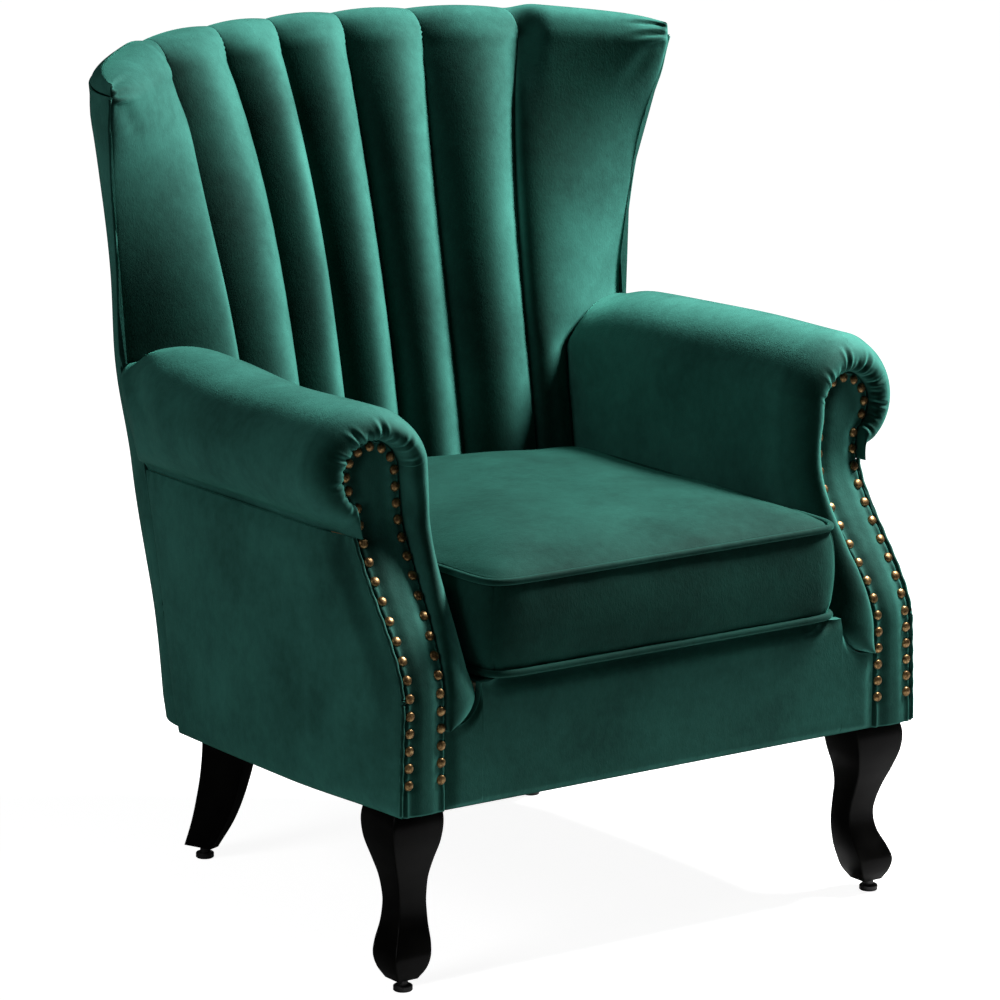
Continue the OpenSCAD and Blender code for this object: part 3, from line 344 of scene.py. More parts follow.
# %% The velvet finish
def velvet_finish(name, painted_sheen_amount):
    f = Finish(name)
    clouds = f.noise(CLOUD_SIZE, detail=3.0, rough=0.55)
    brushed = f.noise(STROKE_SIZE, detail=5.0, rough=0.72, scale=(1, 1, 0.85))
    pile = f.noise(PILE_SIZE, detail=3.0, rough=0.7, scale=(1, 1, 0.5))
    patch = clouds * 0.66 + brushed * 0.34
    colour = f.ramp(patch, [(0.36, VELVET_DEEP), (0.66, VELVET_LIGHT)])
    between_tufts = (*(c * 0.45 for c in VELVET_DEEP), 1)
    grain = f.blend(pile * 0.75, colour, between_tufts)
    # Painted sheen: a bright colour mixed into the base colour where the surface turns away from the view.
    grazing = f.add("ShaderNodeLayerWeight", {}, {"Blend": 0.5}, output=1)
    lift = f.add("ShaderNodeMath", {"operation": "POWER"}, {0: grazing, 1: 1.35})
    painted_sheen_share = lift * (1.25 - lift) * (patch * 1.1 * painted_sheen_amount)
    painted_sheen_colour = f.blend(painted_sheen_share, grain, (*VELVET_PAINTED_SHEEN, 1))
    height = pile * 0.7 + brushed * 0.9
    return f.set(
        Base_Color=painted_sheen_colour, Roughness=0.86 - brushed * 0.12, Normal=f.bump(height, PILE_DEPTH, 0.6),
        Specular_IOR_Level=0.08, Sheen_Weight=0.25, Sheen_Roughness=0.35,
        Sheen_Tint=(*VELVET_SHEEN, 1))


velvet = velvet_finish("emerald_velvet", painted_sheen_amount=1.0)
# The cushion's copy has much less painted sheen, so it renders darker than the other velvet.
less_painted_sheen_velvet = velvet_finish("cushion_velvet", painted_sheen_amount=0.27)
print("velvet nodes:", len(velvet.node_tree.nodes))

# %% [markdown]
# ## Black lacquer, old brass, plastic and steel
# The legs are sprayed with a satin black lacquer: nearly smooth, with the faint orange peel of spray
# paint under a thin clear coat. The nail heads are brass that was dipped to look old, dark in its
# hollows and rubbed bright in places. The levelling feet are moulded in black plastic, and the studs
# and bolts are plain zinc-plated steel. Most finishes here follow one recipe: a pattern of marks tints
# the surface, changes its gloss, and raises it by a fraction of a millimetre.

# %% A recipe for finishes with marks
def marked_finish(name, marks, stops, rough, depth, strength, **sockets):
    """Marks that tint a surface and raise it. `rough` is a level, and how much the marks add."""
    f = Finish(name)
    pattern = marks(f)
    level, added = rough
    return f.set(Base_Color=f.ramp(pattern, stops), Normal=f.bump(pattern, depth, strength),
                 Roughness=level + pattern * added if added else level, **sockets)


print("the recipe for marked finishes is ready")


# %% Hard finishes
def lacquer_finish():
    f = Finish("black_lacquer")
    peel = f.noise(0.0035)
    wear = f.noise(0.03, detail=3.0)
    colour = f.ramp(wear, [(0.3, rgb(2, 2, 2)), (0.75, rgb(8, 8, 7))])
    return f.set(Base_Color=colour, Roughness=0.30 + wear * 0.14, Normal=f.bump(peel, 0.00008, 0.5),
                 Coat_Weight=0.03, Coat_Roughness=0.2, Specular_IOR_Level=0.05)


lacquer = lacquer_finish()
brass = marked_finish(
    "antique_brass", lambda f: f.noise(0.004, detail=4.0, rough=0.7),
    [(0.32, rgb(50, 37, 24)), (0.50, rgb(118, 92, 58)), (0.72, rgb(176, 146, 100))],
    (0.50, -0.2), 0.0002, 0.5, Metallic=0.9)
plastic = marked_finish(
    "black_plastic", lambda f: f.noise(0.0012),
    [(0.3, rgb(14, 14, 15)), (0.8, rgb(30, 30, 31))], (0.42, 0.15), 0.0001, 0.4)
steel = marked_finish(
    "zinc_steel", lambda f: f.noise(0.006, detail=5.0, rough=0.7),
    [(0.3, rgb(140, 142, 146)), (0.7, rgb(196, 198, 202))], (0.28, 0.2), 0.0001, 0.3, Metallic=1.0)
print("hard finishes:", lacquer.name, brass.name, plastic.name, steel.name)

# %% [markdown]
# ## Timber, plywood, webbing, foam and lining
# Nobody sees the inside of a finished chair, but it is there when the cushion comes off or when the
# chair lies on its side. Pine shows long streaks along the board. Plywood shows its layers on the
# edges. The webbing is woven from jute, the deck pad is foam, and the dust cloth is thin black felt.

# %% Finishes of the hidden parts
def timber_finish(name, light, dark, stretch):
    f = Finish(name)
    warp = f.noise(0.12)
    shift = f.add("ShaderNodeCombineXYZ", {}, {"X": warp, "Y": warp, "Z": warp})
    shift = f.add("ShaderNodeVectorMath", {"operation": "SCALE"}, {0: shift, "Scale": 0.04})
    bent = f.add("ShaderNodeVectorMath", {"operation": "ADD"}, {0: f.place(stretch), 1: shift})
    streaks = f.noise(0.012, detail=5.0, rough=0.6, where=bent)
    fibres = f.noise(0.002, where=bent)
    colour = f.ramp(streaks * 0.8 + fibres * 0.2, [(0.32, dark), (0.62, light)])
    return f.set(Base_Color=colour, Roughness=0.62 + fibres * 0.2, Normal=f.bump(streaks, 0.0004, 0.5))


def stripes(f, direction, scale):
    return f.add("ShaderNodeTexWave", {"bands_direction": direction}, {
        "Vector": f.place(), "Scale": scale})


pine = timber_finish("pine_boards", rgb(222, 190, 140), rgb(176, 134, 84), (1, 0.12, 0.12))
plywood = timber_finish("birch_plywood", rgb(208, 178, 132), rgb(150, 116, 78), (0.3, 0.3, 4.0))
webbing = marked_finish(
    "jute_webbing", lambda f: stripes(f, "X", 160.0) * stripes(f, "Y", 160.0),
    [(0.1, rgb(86, 78, 64)), (0.8, rgb(168, 154, 126))], (0.9, 0), 0.0006, 0.8)
foam = marked_finish(
    "deck_foam", lambda f: f.add("ShaderNodeTexVoronoi", {}, {"Vector": f.place(), "Scale": 700.0}),
    [(0.1, rgb(196, 184, 142)), (0.7, rgb(232, 224, 190))], (0.95, 0), 0.0006, 0.7)
lining = marked_finish(
    "dust_cloth", lambda f: f.noise(0.002, detail=4.0, rough=0.7),
    [(0.3, rgb(16, 16, 17)), (0.75, rgb(38, 38, 40))], (0.93, 0), 0.0003, 0.6)
zip_tape = marked_finish(
    "zip_tape", lambda f: stripes(f, "X", 130.0),
    [(0.2, rgb(12, 26, 22)), (0.8, rgb(34, 62, 54))], (0.6, 0), 0.0006, 0.8)
print("hidden finishes:", pine.name, plywood.name, webbing.name, foam.name, lining.name, zip_tape.name)

# %% [markdown]
# ## Dressing a piece
# Every new piece gets a finish and the body of the frame that it moves with, and the solid that it
# stands for is hidden. One call does all of this, so that nothing is left floating.

# %% A helper that dresses a piece
def dress(piece, finish, slot, *nodes, body="chair", fill=None):
    piece.data.materials.clear()
    piece.data.materials.append(finish)
    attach(piece, body)
    if nodes:
        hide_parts(*nodes)
    print(f"{piece.name}: {len(piece.data.polygons)} faces")
    return piece


# %% [markdown]
# ## The chair's main measures
# These are the measures that the frame was built to. The seams of the back fan out towards the top,
# lean back, and step forward towards the wings. Two pieces that only lie beside each other keep a gap
# of a third of a millimetre.

# %% Main measures and the seams of the back
WIDTH, DEPTH, TOP = 784, 767, 942
FRONT_Y, REAR_Y = -371.5, 383.5
FACING_OUT, FACING_IN, WALL_X = 343, 289, 243
DECK_Z, FOOT_Z = 335, 203
GAP = 0.3
BACK_FOOT_Z = 440
BACK_T, LEAN, BULGE, ROLL_OVER = 58, 132, 24, 32
OVER_TURN = math.radians(150)
BACK_TOP = TOP - ROLL_OVER * (1 - math.sin(OVER_TURN))
SEAM_LOW = [0.0485, 0.139, 0.249, 0.436]
SEAM_HIGH = [0.0587, 0.181, 0.321, 0.496]
SEAM_SET = [0, 0.029, 0.065, 0]
SEAM_LEAN = [0, 0, 0.09, 0]
EDGE = [(0.2155, 0.580), (0.515, 0.661), (0.608, 0.713), (0.658, 0.725),
        (0.743, 0.718), (0.849, 0.704), (0.955, 0.670), (1.05, 0.65)]


def back_share(z):
    return (z - BACK_FOOT_Z) / (BACK_TOP - BACK_FOOT_Z)


def leaning(z):
    t = back_share(z)
    return 0.53 * t + 0.47 * t * t


def seam_x(k, z):
    return WIDTH * lerp(SEAM_LOW[k], SEAM_HIGH[k], clamp(back_share(z)) ** 3)


def seam_y(k, z):
    return REAR_Y - BACK_T - LEAN - DEPTH * SEAM_SET[k] + LEAN * (1 - SEAM_LEAN[k]) * leaning(z)


def edge_y(z):
    return FRONT_Y + DEPTH * through(EDGE, z / TOP)


print("outer seam at the top, mm from the middle:", round(seam_x(2, TOP)))

# %% [markdown]
# ## The outside cover's round
# Seen from above, the cover on the rear is a wide flat curve between an ellipse and a box, so a
# superellipse describes it. Its power changes with height: rounder at the hips, squarer in the middle.

# %% The round of the outside cover
POWER = [(0.2, 2.2), (0.34, 2.2), (0.5, 2.8), (0.72, 2.1), (1, 2.1)]
SHELL_T = 3
CURL_IN, CURL_FROM_Z, CURL_HEIGHT = 6, 866, 48


def wing_edge_x(z):
    """The wing's edge: the outermost seam line, curling in over the last few centimetres."""
    return seam_x(3, z) - CURL_IN * smooth((z - CURL_FROM_Z) / CURL_HEIGHT)


def shell_half(z):
    return wing_edge_x(z) + SHELL_T + GAP


def shell_rear(z):
    return seam_y(0, z) + BACK_T


def shell_point(v, z, inset):
    p = 2 / through(POWER, z / TOP)
    side = math.copysign(abs(math.sin(math.pi / 2 * v)) ** p, v)
    rear = abs(math.cos(math.pi / 2 * v)) ** p
    y0 = edge_y(z)
    return [(shell_half(z) - inset) * side, y0 + (shell_rear(z) - inset - y0) * rear, z]


def shell_inner_y(x, z):
    power = through(POWER, z / TOP)
    u = clamp(x / (shell_half(z) - SHELL_T))
    y0 = edge_y(z)
    return y0 + (shell_rear(z) - SHELL_T - y0) * (1 - u**power) ** (1 / power)


print("depth of the back at its middle, mm:", round(shell_rear(700) - seam_y(0, 700)))

# %% [markdown]
# ## Where a seam runs
# A seam starts behind the cushion, climbs to the turn, then rolls over the top edge and dives to the
# outside cover. One number follows it: 0 to 1 on the way up, 1 to 2 over the top. Hands sew no two
# sides alike, so each side has its own small lean of the seams, and its own drop at the wing's tip.

# %% A point on a seam
TUCK_X, TUCK_Z, TUCK_HEIGHT, TUCK_BACK = 268, 554, 50, 20
TIP_DROP = {-1: 14, 1: 3}
TIP_ROLL, TIP_TURN, TIP_OVERHANG = 22, 1.5, 3.6
TOP_FULLER = 3
LEVEL = [(0, 0), (2, 0)]
LEAN_IN = {
    1: [LEVEL, LEVEL, [(0, 0), (0.85, 0), (1.05, -3), (2, -3)], LEVEL],
    -1: [LEVEL, [(0, 0), (0.5, 0), (0.95, 5), (2, 5)],
         [(0, 0), (0.25, -4), (0.5, -9), (0.7, -14), (0.83, -9), (0.94, 3), (1.05, 11), (1.3, 11),
          (2, 11)], LEVEL],
}


def tuck(z):
    """Below the arm the wing's edge is tucked in behind the arm's post."""
    return smooth((z - TUCK_Z) / TUCK_HEIGHT)


def line_x(k, z):
    return lerp(TUCK_X, wing_edge_x(z), tuck(z)) if k == 3 else seam_x(k, z)


def line_y(k, z):
    return lerp(seam_y(2, z) + TUCK_BACK, edge_y(z), tuck(z)) if k == 3 else seam_y(k, z)


def turn_z(k, side=1):
    return TOP - ROLL_OVER - (TIP_DROP[side] if k == 3 else 0)


def seam_point(k, s, side=1):
    """The place of seam k, counted from the middle, at s along it. Seam 3 is the wing's edge."""
    z1 = turn_z(k, side)
    z = lerp(DECK_Z + GAP, z1, min(s, 1))
    a = OVER_TURN * max(s - 1, 0)
    over = 1 - math.cos(a)
    x = line_x(k, z) - through(LEAN_IN[side][k], s)
    if k == 3:
        x -= TIP_TURN * over - TIP_OVERHANG * smooth((s - 0.88) / 0.12)
    deep = 0
    if s > 1:
        deep = (shell_inner_y(x, z1) - 2 * GAP - line_y(k, z1)) / (1 - math.cos(OVER_TURN))
    roll = TIP_ROLL if k == 3 else ROLL_OVER + (TOP_FULLER if k < 2 else 0)
    return np.array([x, line_y(k, z) + deep * over, z + roll * math.sin(a)])


print("outer seam over the top:", [int(c) for c in seam_point(2, 1.5)])

# %% [markdown]
# ## The channels
# Each channel is a tube of cloth sewn down on both sides and stuffed with fibre. Between its seams it
# swells to a broad crown, and at a seam it dives steeply, so that two channels meet in a deep crease.
# A sine raised to a power below one has that shape: flat on top, upright at its ends. At the top the
# channels flatten as they are pulled over the rail. Stuffing is never even, so the fullness wanders a
# little along each channel.

# %% Rows of a channel
FULL_UP = [(0, 0.75), (0.1, 1), (0.5, 1), (0.88, 1), (1, 0.86), (1.2, 0.42), (1.45, 0.19), (1.7, 0.12),
           (2, 0.1)]
WING_UP = [(0, 0.75), (0.1, 1), (0.93, 1), (1.2, 0.64), (1.5, 0.36), (1.7, 0.3), (2, 0.1)]
WING_LEAD = [(0, 0.6), (0.9, 0.6), (1.3, 1.5), (2, 1.5)]
CROWN_OF_CHANNEL = 29
BACKING, WING_BACK_IN, SEAM_WIDTH = 12, 24, 0.15


def swell(u, wing, s):
    """How full the piece is at a share of the way from its inner seam to its outer one."""
    if wing:
        lead = through(WING_LEAD, s)
        upright = abs(math.sin(math.pi * u**lead)) ** lerp(0.6, 1, clamp(u - s / 2))
        blunt = (1 - u**9) ** 0.5 * smooth(u / 0.24)
        return lerp(upright, blunt, smooth((s - 0.85) / 0.25))
    return math.sin(math.pi * u) ** 0.78


def turned_over(point, start, a):
    """Move a point over the top so that its own line ends on the inside of the cover."""
    inside = shell_inner_y(abs(point[0]), start[2]) - 2 * GAP
    deep = (inside - start[1]) / (1 - math.cos(OVER_TURN))
    return np.array([point[0], start[1] + deep * (1 - math.cos(a)), point[2]])


def channel_row(p, q, start, s, wing, sides, phase):
    """The front and rear points between two seams, p and q, whose turn begins at `start`."""
    a = OVER_TURN * max(s - 1, 0)
    across = (q - p) / np.linalg.norm(q - p)
    flat = np.array([across[1], -across[0], 0])
    flat /= np.linalg.norm(flat)
    out = flat * math.cos(a) + np.array([0, 0, math.sin(a)])
    behind = np.array([0, math.cos(a), -math.sin(a)]) * BACKING * lerp(1, 0.35, clamp(s - 1))
    share = packed(sides)
    p1, q1 = p + across * SEAM_WIDTH, q - across * SEAM_WIDTH
    front = [lerp(p1, q1, u) for u in share]
    if s > 1:
        front = [turned_over(point, lerp(start[0], start[1], u), a) for point, u in zip(front, share)]
    uneven = 1 + 0.035 * math.sin(5.1 * s + phase) + 0.02 * math.sin(13.7 * s + 2 * phase)
    full = BULGE * through(WING_UP, s) if wing else CROWN_OF_CHANNEL * through(FULL_UP, s) * uneven
    front = [f + out * full * swell(u, wing, s) for f, u in zip(front, share)]
    q2 = q1 - across * (WING_BACK_IN if wing else 0)
    back = [lerp(p1, q2, 1 - i / 6) + behind for i in range(7)]
    return front, back


heights = sorted({i / 70 for i in range(71)} | {0.40 + i / 120 for i in range(16)}
                 | {1 + i / 32 for i in range(1, 33)})
print("rows of a channel:", len(heights))

# %% [markdown]
# ## Five channels
# The middle channel is symmetric. The others come in pairs, so the right one is built and its mirror
# image stands on the left. Where the cloth turns over the rail it is a little too long for the turn,
# and it puckers beside the seam.

# %% Build the channels
CHANNEL_SIDES, PUCKER = 30, 0.9


def seam_of(k, s, side):
    """A seam's point. Seam -1 is the mirror image of seam 0, on the middle channel's other side."""
    return mirrored(seam_point(0, s)) if k < 0 else seam_point(k, s, SIDES[side])


def channel_grid(k0, k1, phase, sides, side):
    rows = []
    start = seam_of(k0, 1, side), seam_of(k1, 1, side)
    for s in heights:
        p, q = seam_of(k0, s, side), seam_of(k1, s, side)
        front, back = channel_row(p, q, start, s, k1 == 3, sides, phase)
        rows.append(front + back)
    return np.array(rows)


def puckered(grid, phase):
    """Small folds that run out of a seam where the cloth turns over the rail."""
    amounts = np.zeros(grid.shape[:2])
    for i, s in enumerate(heights):
        band = math.exp(-((s - 1.12) / 0.14) ** 2) + 0.25 * (s < 1.0)
        for j, u in enumerate(packed(CHANNEL_SIDES)):
            near = math.exp(-min(u, 1 - u) / 0.07)
            amounts[i, j] = PUCKER * band * near * math.sin(95 * s + phase + 6 * u)
    amounts[:, 0] = amounts[:, CHANNEL_SIDES] = 0
    return pushed(grid, amounts)


def build_channel(name, node, k0, k1, phase, side="right"):
    grid = on_side(puckered(channel_grid(k0, k1, phase, CHANNEL_SIDES, side), phase), side)
    return dress(skin_mesh(name, grid, ring=True, caps=True), velvet, "velvet", node, fill=0.8)


build_channel("middle_channel_cover", "center_channel", -1, 0, 0.4)
build_channel("right_inner_channel_cover", "right_inner_channel", 0, 1, 1.7)
build_channel("left_inner_channel_cover", "left_inner_channel", 0, 1, 2.9, "left")
build_channel("right_outer_channel_cover", "right_outer_channel", 1, 2, 4.1)
build_channel("left_outer_channel_cover", "left_outer_channel", 1, 2, 5.3, "left")

# %% [markdown]
# ## The wing pads
# A wing is one wide padded panel from the outermost seam to the edge of the outside cover. It is
# fullest beside its seam. At the tip the cloth has to turn over the top and round the side at once,
# which no flat cloth can do, so the upholsterer lays it in two or three small tucks there.

# %% Build the wing pads
WING_SIDES = 44
TUCKS = [(1.02, 0.055, 2.6), (1.16, 0.05, 3.2), (1.33, 0.06, 2.2)]


def tucked(grid):
    """The tucks of a wing's tip: each has a place along the seam, a width and a depth."""
    amounts = np.zeros(grid.shape[:2])
    for i, s in enumerate(heights):
        for j, u in enumerate(packed(WING_SIDES)):
            reach = smooth((u - 0.70) / 0.2) * smooth((1.0 - u) / 0.03)
            for place, width, depth in TUCKS:
                off = s - place + 0.35 * (1 - u)
                amounts[i, j] -= depth * reach * math.exp(-(off / (width * 0.5)) ** 2)
                amounts[i, j] += 0.5 * depth * reach * math.exp(-((off - width) / (width * 0.6)) ** 2)
    return pushed(grid, amounts)


for side in SIDES:
    wing = on_side(tucked(channel_grid(2, 3, 0, WING_SIDES, side)), side)
    dress(skin_mesh(f"{side}_wing_cover", wing, ring=True, caps=True), velvet, "velvet",
          f"{side}_wing_pad", fill=0.7)

# %% [markdown]
# ## The outside cover and its piping
# One cloth runs from wing edge to wing edge round the rear. It is stretched over the posts with hardly
# any padding, so it stays smooth. Where it meets the wings and the side covers it is blind-stitched
# over a thin cord, which shows as a fine line down each side of the chair.

# %% Build the outside cover
SHELL_BELOW, TIP_BELOW = 1, 5
SHELL_EDGE_IN = 1.2


def shell_top(v):
    """The cover's upper edge, level behind the channels and falling to the wing's tip."""
    x = shell_half(BACK_TOP) * abs(math.sin(math.pi / 2 * v)) ** 0.95
    u = clamp((x - seam_x(2, TOP)) / (wing_edge_x(BACK_TOP) - seam_x(2, TOP)))
    return BACK_TOP - SHELL_BELOW - (TIP_DROP[1 if v > 0 else -1] + TIP_BELOW) * u


def build_outside():
    columns, rows = 120, 64
    rings = []
    for i in range(columns + 1):
        v = 1 - 2 * i / columns
        z1 = shell_top(v)
        outer, inner = [], []
        for j in range(rows + 1):
            w = j / rows
            z = lerp(FOOT_Z, z1, w)
            rest = smooth(min(w, 1 - w) / 0.04)
            x, y, z = shell_point(v, z, lerp(SHELL_EDGE_IN, 0, rest))
            outer.append([x, y + 0.8 * rest * math.sin(7 * w + 2 * v) * math.sin(3 * v + 1), z])
            inner.append(shell_point(v, z, SHELL_T))
        rings.append(outer + inner[::-1])
    cover = skin_mesh("outside_cover", rings, ring=True, caps=True, sharp=50)
    cords = []
    for side in (-1, 1):
        line = []
        for j in range(91):
            z = lerp(FOOT_Z + 3, shell_top(side) - 2, j / 90)
            x, y, z = shell_point(side, z, 0)
            line.append([x - side * 0.6, y + 1.2, z])
        cords.append(cord_mesh(f"side_piping_{side}", line, 2.1))
    return joined("outside_back_cover", [cover, *cords])


dress(build_outside(), velvet, "velvet", "outside_back")

# %% [markdown]
# ## The sweep of the arm fronts
# The front of each arm stands upright above the leg, then sweeps back to its scroll. The nails sit on
# small flats along that sweep. The scroll is an arc that starts low on the outside, goes over the top
# and ends low on the inside.

# %% The sweep, the scroll and the nail places
SWEEP_LOW, SWEEP_HIGH, SWEEP = 318, 508, 98
SCROLL_X, SCROLL_Z, SCROLL_R = 318, 551, 37
WAIST_Z = 470
NAIL_INSET, PITCH, LOWEST_NAIL, SCROLL_NAILS = 6.2, 19.2, 16, 8
FIRST_NAIL, LAST_NAIL = math.radians(-27), math.radians(176)
FACING_NARROWS, INSIDE_NARROWS = 7, 14
OUT_TURN, IN_TURN = math.radians(-52), math.radians(186)


def sweep_y(z):
    return FRONT_Y + SWEEP * smooth((z - SWEEP_LOW) / (SWEEP_HIGH - SWEEP_LOW))


def neck_x(x0, turn, z):
    top = SCROLL_Z + SCROLL_R * math.sin(turn)
    return lerp(x0, SCROLL_X + SCROLL_R * math.cos(turn), clamp((z - WAIST_Z) / (top - WAIST_Z)))


def facing_out(z):
    return neck_x(FACING_OUT - FACING_NARROWS * smooth((z - FOOT_Z) / (WAIST_Z - FOOT_Z)), OUT_TURN, z)


def facing_in(z):
    return neck_x(FACING_IN - INSIDE_NARROWS * smooth((z - SWEEP_LOW) / (WAIST_Z - SWEEP_LOW)), IN_TURN, z)


def scroll_points(r, steps):
    turns = [lerp(OUT_TURN, IN_TURN, i / steps) for i in range(steps + 1)]
    return [[SCROLL_X + r * math.cos(a), SCROLL_Z + r * math.sin(a)] for a in turns]


nail_foot = FOOT_Z + LOWEST_NAIL
flats = math.floor((SCROLL_Z - nail_foot - SCROLL_R) / (PITCH * 0.96))
flat_z = [nail_foot + (i - 0.5) * (SWEEP_HIGH + PITCH / 2 - nail_foot) / flats
          for i in range(1, flats + 1)]
front_line = [(sweep_y(z), z) for z in flat_z] + [(FRONT_Y + SWEEP, SCROLL_Z + SCROLL_R + 1)]


def nail_places():
    """Each nail's place and the lean of the flat that carries it."""
    places = []
    for (y0, z0), (y1, z1) in zip(front_line[:flats - 1], front_line[1:flats]):
        lean = math.atan2(y1 - y0, z1 - z0)
        y, z = (y0 + y1) / 2, (z0 + z1) / 2
        places += [(facing_out(z) - NAIL_INSET, y, z, lean),
                   (facing_in(z) + NAIL_INSET, y, z, lean)]
    z0 = (front_line[flats - 2][1] + front_line[flats - 1][1]) / 2
    back = FRONT_Y + SWEEP
    z1, z2 = z0 + PITCH * 0.94, z0 + 2 * PITCH * 0.94
    places += [(facing_out(z1) - NAIL_INSET, back, z1, 0), (facing_in(z1) + NAIL_INSET, back, z1, 0),
               (facing_in(z2) + NAIL_INSET, back, z2, 0)]
    r = SCROLL_R - NAIL_INSET
    for i in range(SCROLL_NAILS):
        a = lerp(FIRST_NAIL, LAST_NAIL, i / (SCROLL_NAILS - 1))
        places.append((SCROLL_X + r * math.cos(a), back, SCROLL_Z + r * math.sin(a), 0))
    return places


nails = nail_places()


def between_nails(z):
    """0 at the height of a nail, 1 halfway to the next one."""
    return smooth(min(abs(z - n[2]) for n in nails) / (PITCH / 2))


print("nails on one arm:", len(nails))

# %% [markdown]
# ## The arm pads
# An arm pad is one long piece of padding that hangs over the arm's rail like a cane handle: down the
# inside to the seat, up and over the roll, and back under it to the outside seam. At the front its
# cloth is gathered and nailed under the facing. The path over the roll is an upright ellipse, drawn
# finely, and the inner path is the edge of the facing.

# %% The paths of the arm pad
ROLL_W, ROLL_H, ROLL_TOP = (WIDTH / 2 - WALL_X) / 2, 70, 628
ROLL_X, ROLL_Z = WALL_X + ROLL_W, ROLL_TOP - ROLL_H
TOE, PAD_FOOT = 40, 290 + GAP
ROLL_SEAM_Z, FACING_SEAM_Z = 486.5, 489

outer_path = [[343.5, ROLL_SEAM_Z], [348, 494]]
outer_path += [[ROLL_X + ROLL_W * math.cos(a), ROLL_Z + ROLL_H * math.sin(a)]
               for a in [lerp(math.radians(-52), math.pi, i / 14) for i in range(15)]]
outer_path += [[WALL_X, lerp(DECK_Z, SCROLL_Z, w)] for w in (0.764, 0.44, 0.185)]
outer_path += [[WALL_X + TOE + TOE * math.cos(a), PAD_FOOT + TOE + TOE * math.sin(a)]
               for a in [lerp(math.pi, math.radians(268), i / 3) for i in range(4)]]
inner_path = [[facing_out(FACING_SEAM_Z) + GAP, FACING_SEAM_Z]] + scroll_points(SCROLL_R + GAP, 15)
inner_path += [[facing_in(z) - GAP, z] for z in [lerp(SWEEP_LOW, WAIST_Z, w) for w in (1, 0.66, 0.33)]]
inner_path += [[FACING_IN - GAP, lerp(SWEEP_LOW, PAD_FOOT, i / 3)] for i in range(4)]
PATH_STEPS = 15
outer_fine, inner_fine = rounded_path(outer_path, PATH_STEPS), rounded_path(inner_path, PATH_STEPS)
print("points along the pad:", len(outer_fine))

# %% [markdown]
# ## The gathered front of an arm
# Round the scroll the pad's cloth has a long outer edge and a short inner one, so it is laid in radial
# pleats that start under the nails and die out on the roll. Each pleat here is a narrow valley with a
# soft ridge beside it, given by its place along the pad, its reach and its depth. Their spacing and
# length differ a little, as hand-laid pleats do. The two rolls were stuffed by hand too, so each side
# has its own line along its top.

# %% The front profile and its pleats
IN_SHARE = [(0, 0.985), (0.1, 0.95), (0.25, 0.83), (0.45, 0.58), (0.65, 0.33), (0.83, 0.13), (1, 0)]
FULLNESS = [(0, -0.25), (0.1, 0.35), (0.25, 0.82), (0.45, 1.0), (0.65, 0.8), (0.83, 0.4), (1, 0)]
DEPTH_IN = [(0, 0), (0.25, 0.02), (0.45, 0.1), (0.65, 0.24), (0.83, 0.52), (1, 1)]
PLEATS = [(1.5, 0.55, 1.6), (2.9, 0.45, 1.4), (4.2, 0.62, 2.0), (5.3, 0.45, 1.5), (6.4, 0.72, 2.3),
          (7.4, 0.5, 1.7), (8.5, 0.78, 2.4), (9.4, 0.55, 1.8), (10.6, 0.8, 2.3), (11.5, 0.5, 1.6),
          (12.9, 0.65, 1.8), (14.6, 0.5, 1.4), (16.4, 0.5, 1.1), (18.3, 0.5, 0.8)]


def sweep_mix(z):
    return smooth((z - SWEEP_LOW) / (SWEEP_HIGH - SWEEP_LOW))


FRONT_DEPTH = [(290, 12), (322, 12), (352, 36), (420, 34), (508, 20)]
ROLL_LINE = {"right": [(0, 3), (0.5, 2), (0.85, -5), (1, -10)],
             "left": [(0, -6), (0.4, -9), (0.75, 0), (0.9, -1), (1, -18)]}


def roll_lift(z, t, side):
    """How far the top of the roll stands above its plain line, from its front to its rear."""
    return through(ROLL_LINE[side], t) * clamp((z - ROLL_Z) / ROLL_H)


def pleat_depth(place, f):
    """How deep the folds are at a place along the pad and a share of the way out."""
    total = 0
    for where, reach, depth in PLEATS:
        off = (place - where - 0.25 * f) / 0.17
        fade = smooth((f - 0.05) / 0.10) * smooth((reach - f) / 0.35)
        total += depth * fade * (-math.exp(-off * off) + 0.45 * math.exp(-((abs(off) - 2.1) / 0.9) ** 2))
    return total


print("deepest pleat, mm:", round(min(pleat_depth(7.7, f / 20) for f in range(20)), 1))

# %% [markdown]
# ## The rear end of an arm
# At the rear the pad leans on the wing. Outside the wing it ends in a rounded shoulder that turns in
# to the post.

# %% Where the pad ends at the rear
FREE_X, SHOULDER_W, END_TURNS, END_CLEAR = 300, 55, 80, 1.2


def wing_face_y(x, z):
    x0, x1 = seam_x(2, z), line_x(3, z)
    u = clamp((x - x0) / (x1 - x0))
    return lerp(seam_y(2, z), line_y(3, z), u) - BULGE * swell(u, True, 0) * 1.05


def pad_rear_y(x, z):
    face = wing_face_y(x, z)
    free = lerp(face, edge_y(z), smooth((x - TUCK_X) / (FREE_X - TUCK_X)))
    turned_in = END_TURNS * clamp((x - WIDTH / 2 + SHOULDER_W) / SHOULDER_W) ** 2
    return min(face, free) - END_CLEAR - 2 * smooth((z - 495) / 20) - turned_in


print("rear end of the roll, mm:", round(pad_rear_y(330, 600)))

# %% [markdown]
# ## One closed pad
# The pad is a skin round a loop: out over the gathered front, back along the roll, in at the rear and
# forward again inside. That loop travels along the path from the outside seam to the seat.

# %% The four parts of the loop
FRONT_STEPS, ROLL_STEPS, REAR_STEPS, INSIDE_STEPS = 24, 48, 12, 8
PUFF_LOW, PUFF_HIGH, PUFF_INSIDE = 7, 17, 10
UNDER_NARROWS, SHOULDER_IN, SAG = 4, 14, 0.84


def shouldered(x, z, t):
    """The roll grows a little slimmer over its last few centimetres, on its outer and upper side."""
    slim = smooth((t - 0.80) / 0.20) ** 2 * smooth((z - 500) / 40)
    return x - 7 * slim * clamp((x - ROLL_X) / ROLL_W), z - 8 * slim * clamp((z - ROLL_Z) / ROLL_H)


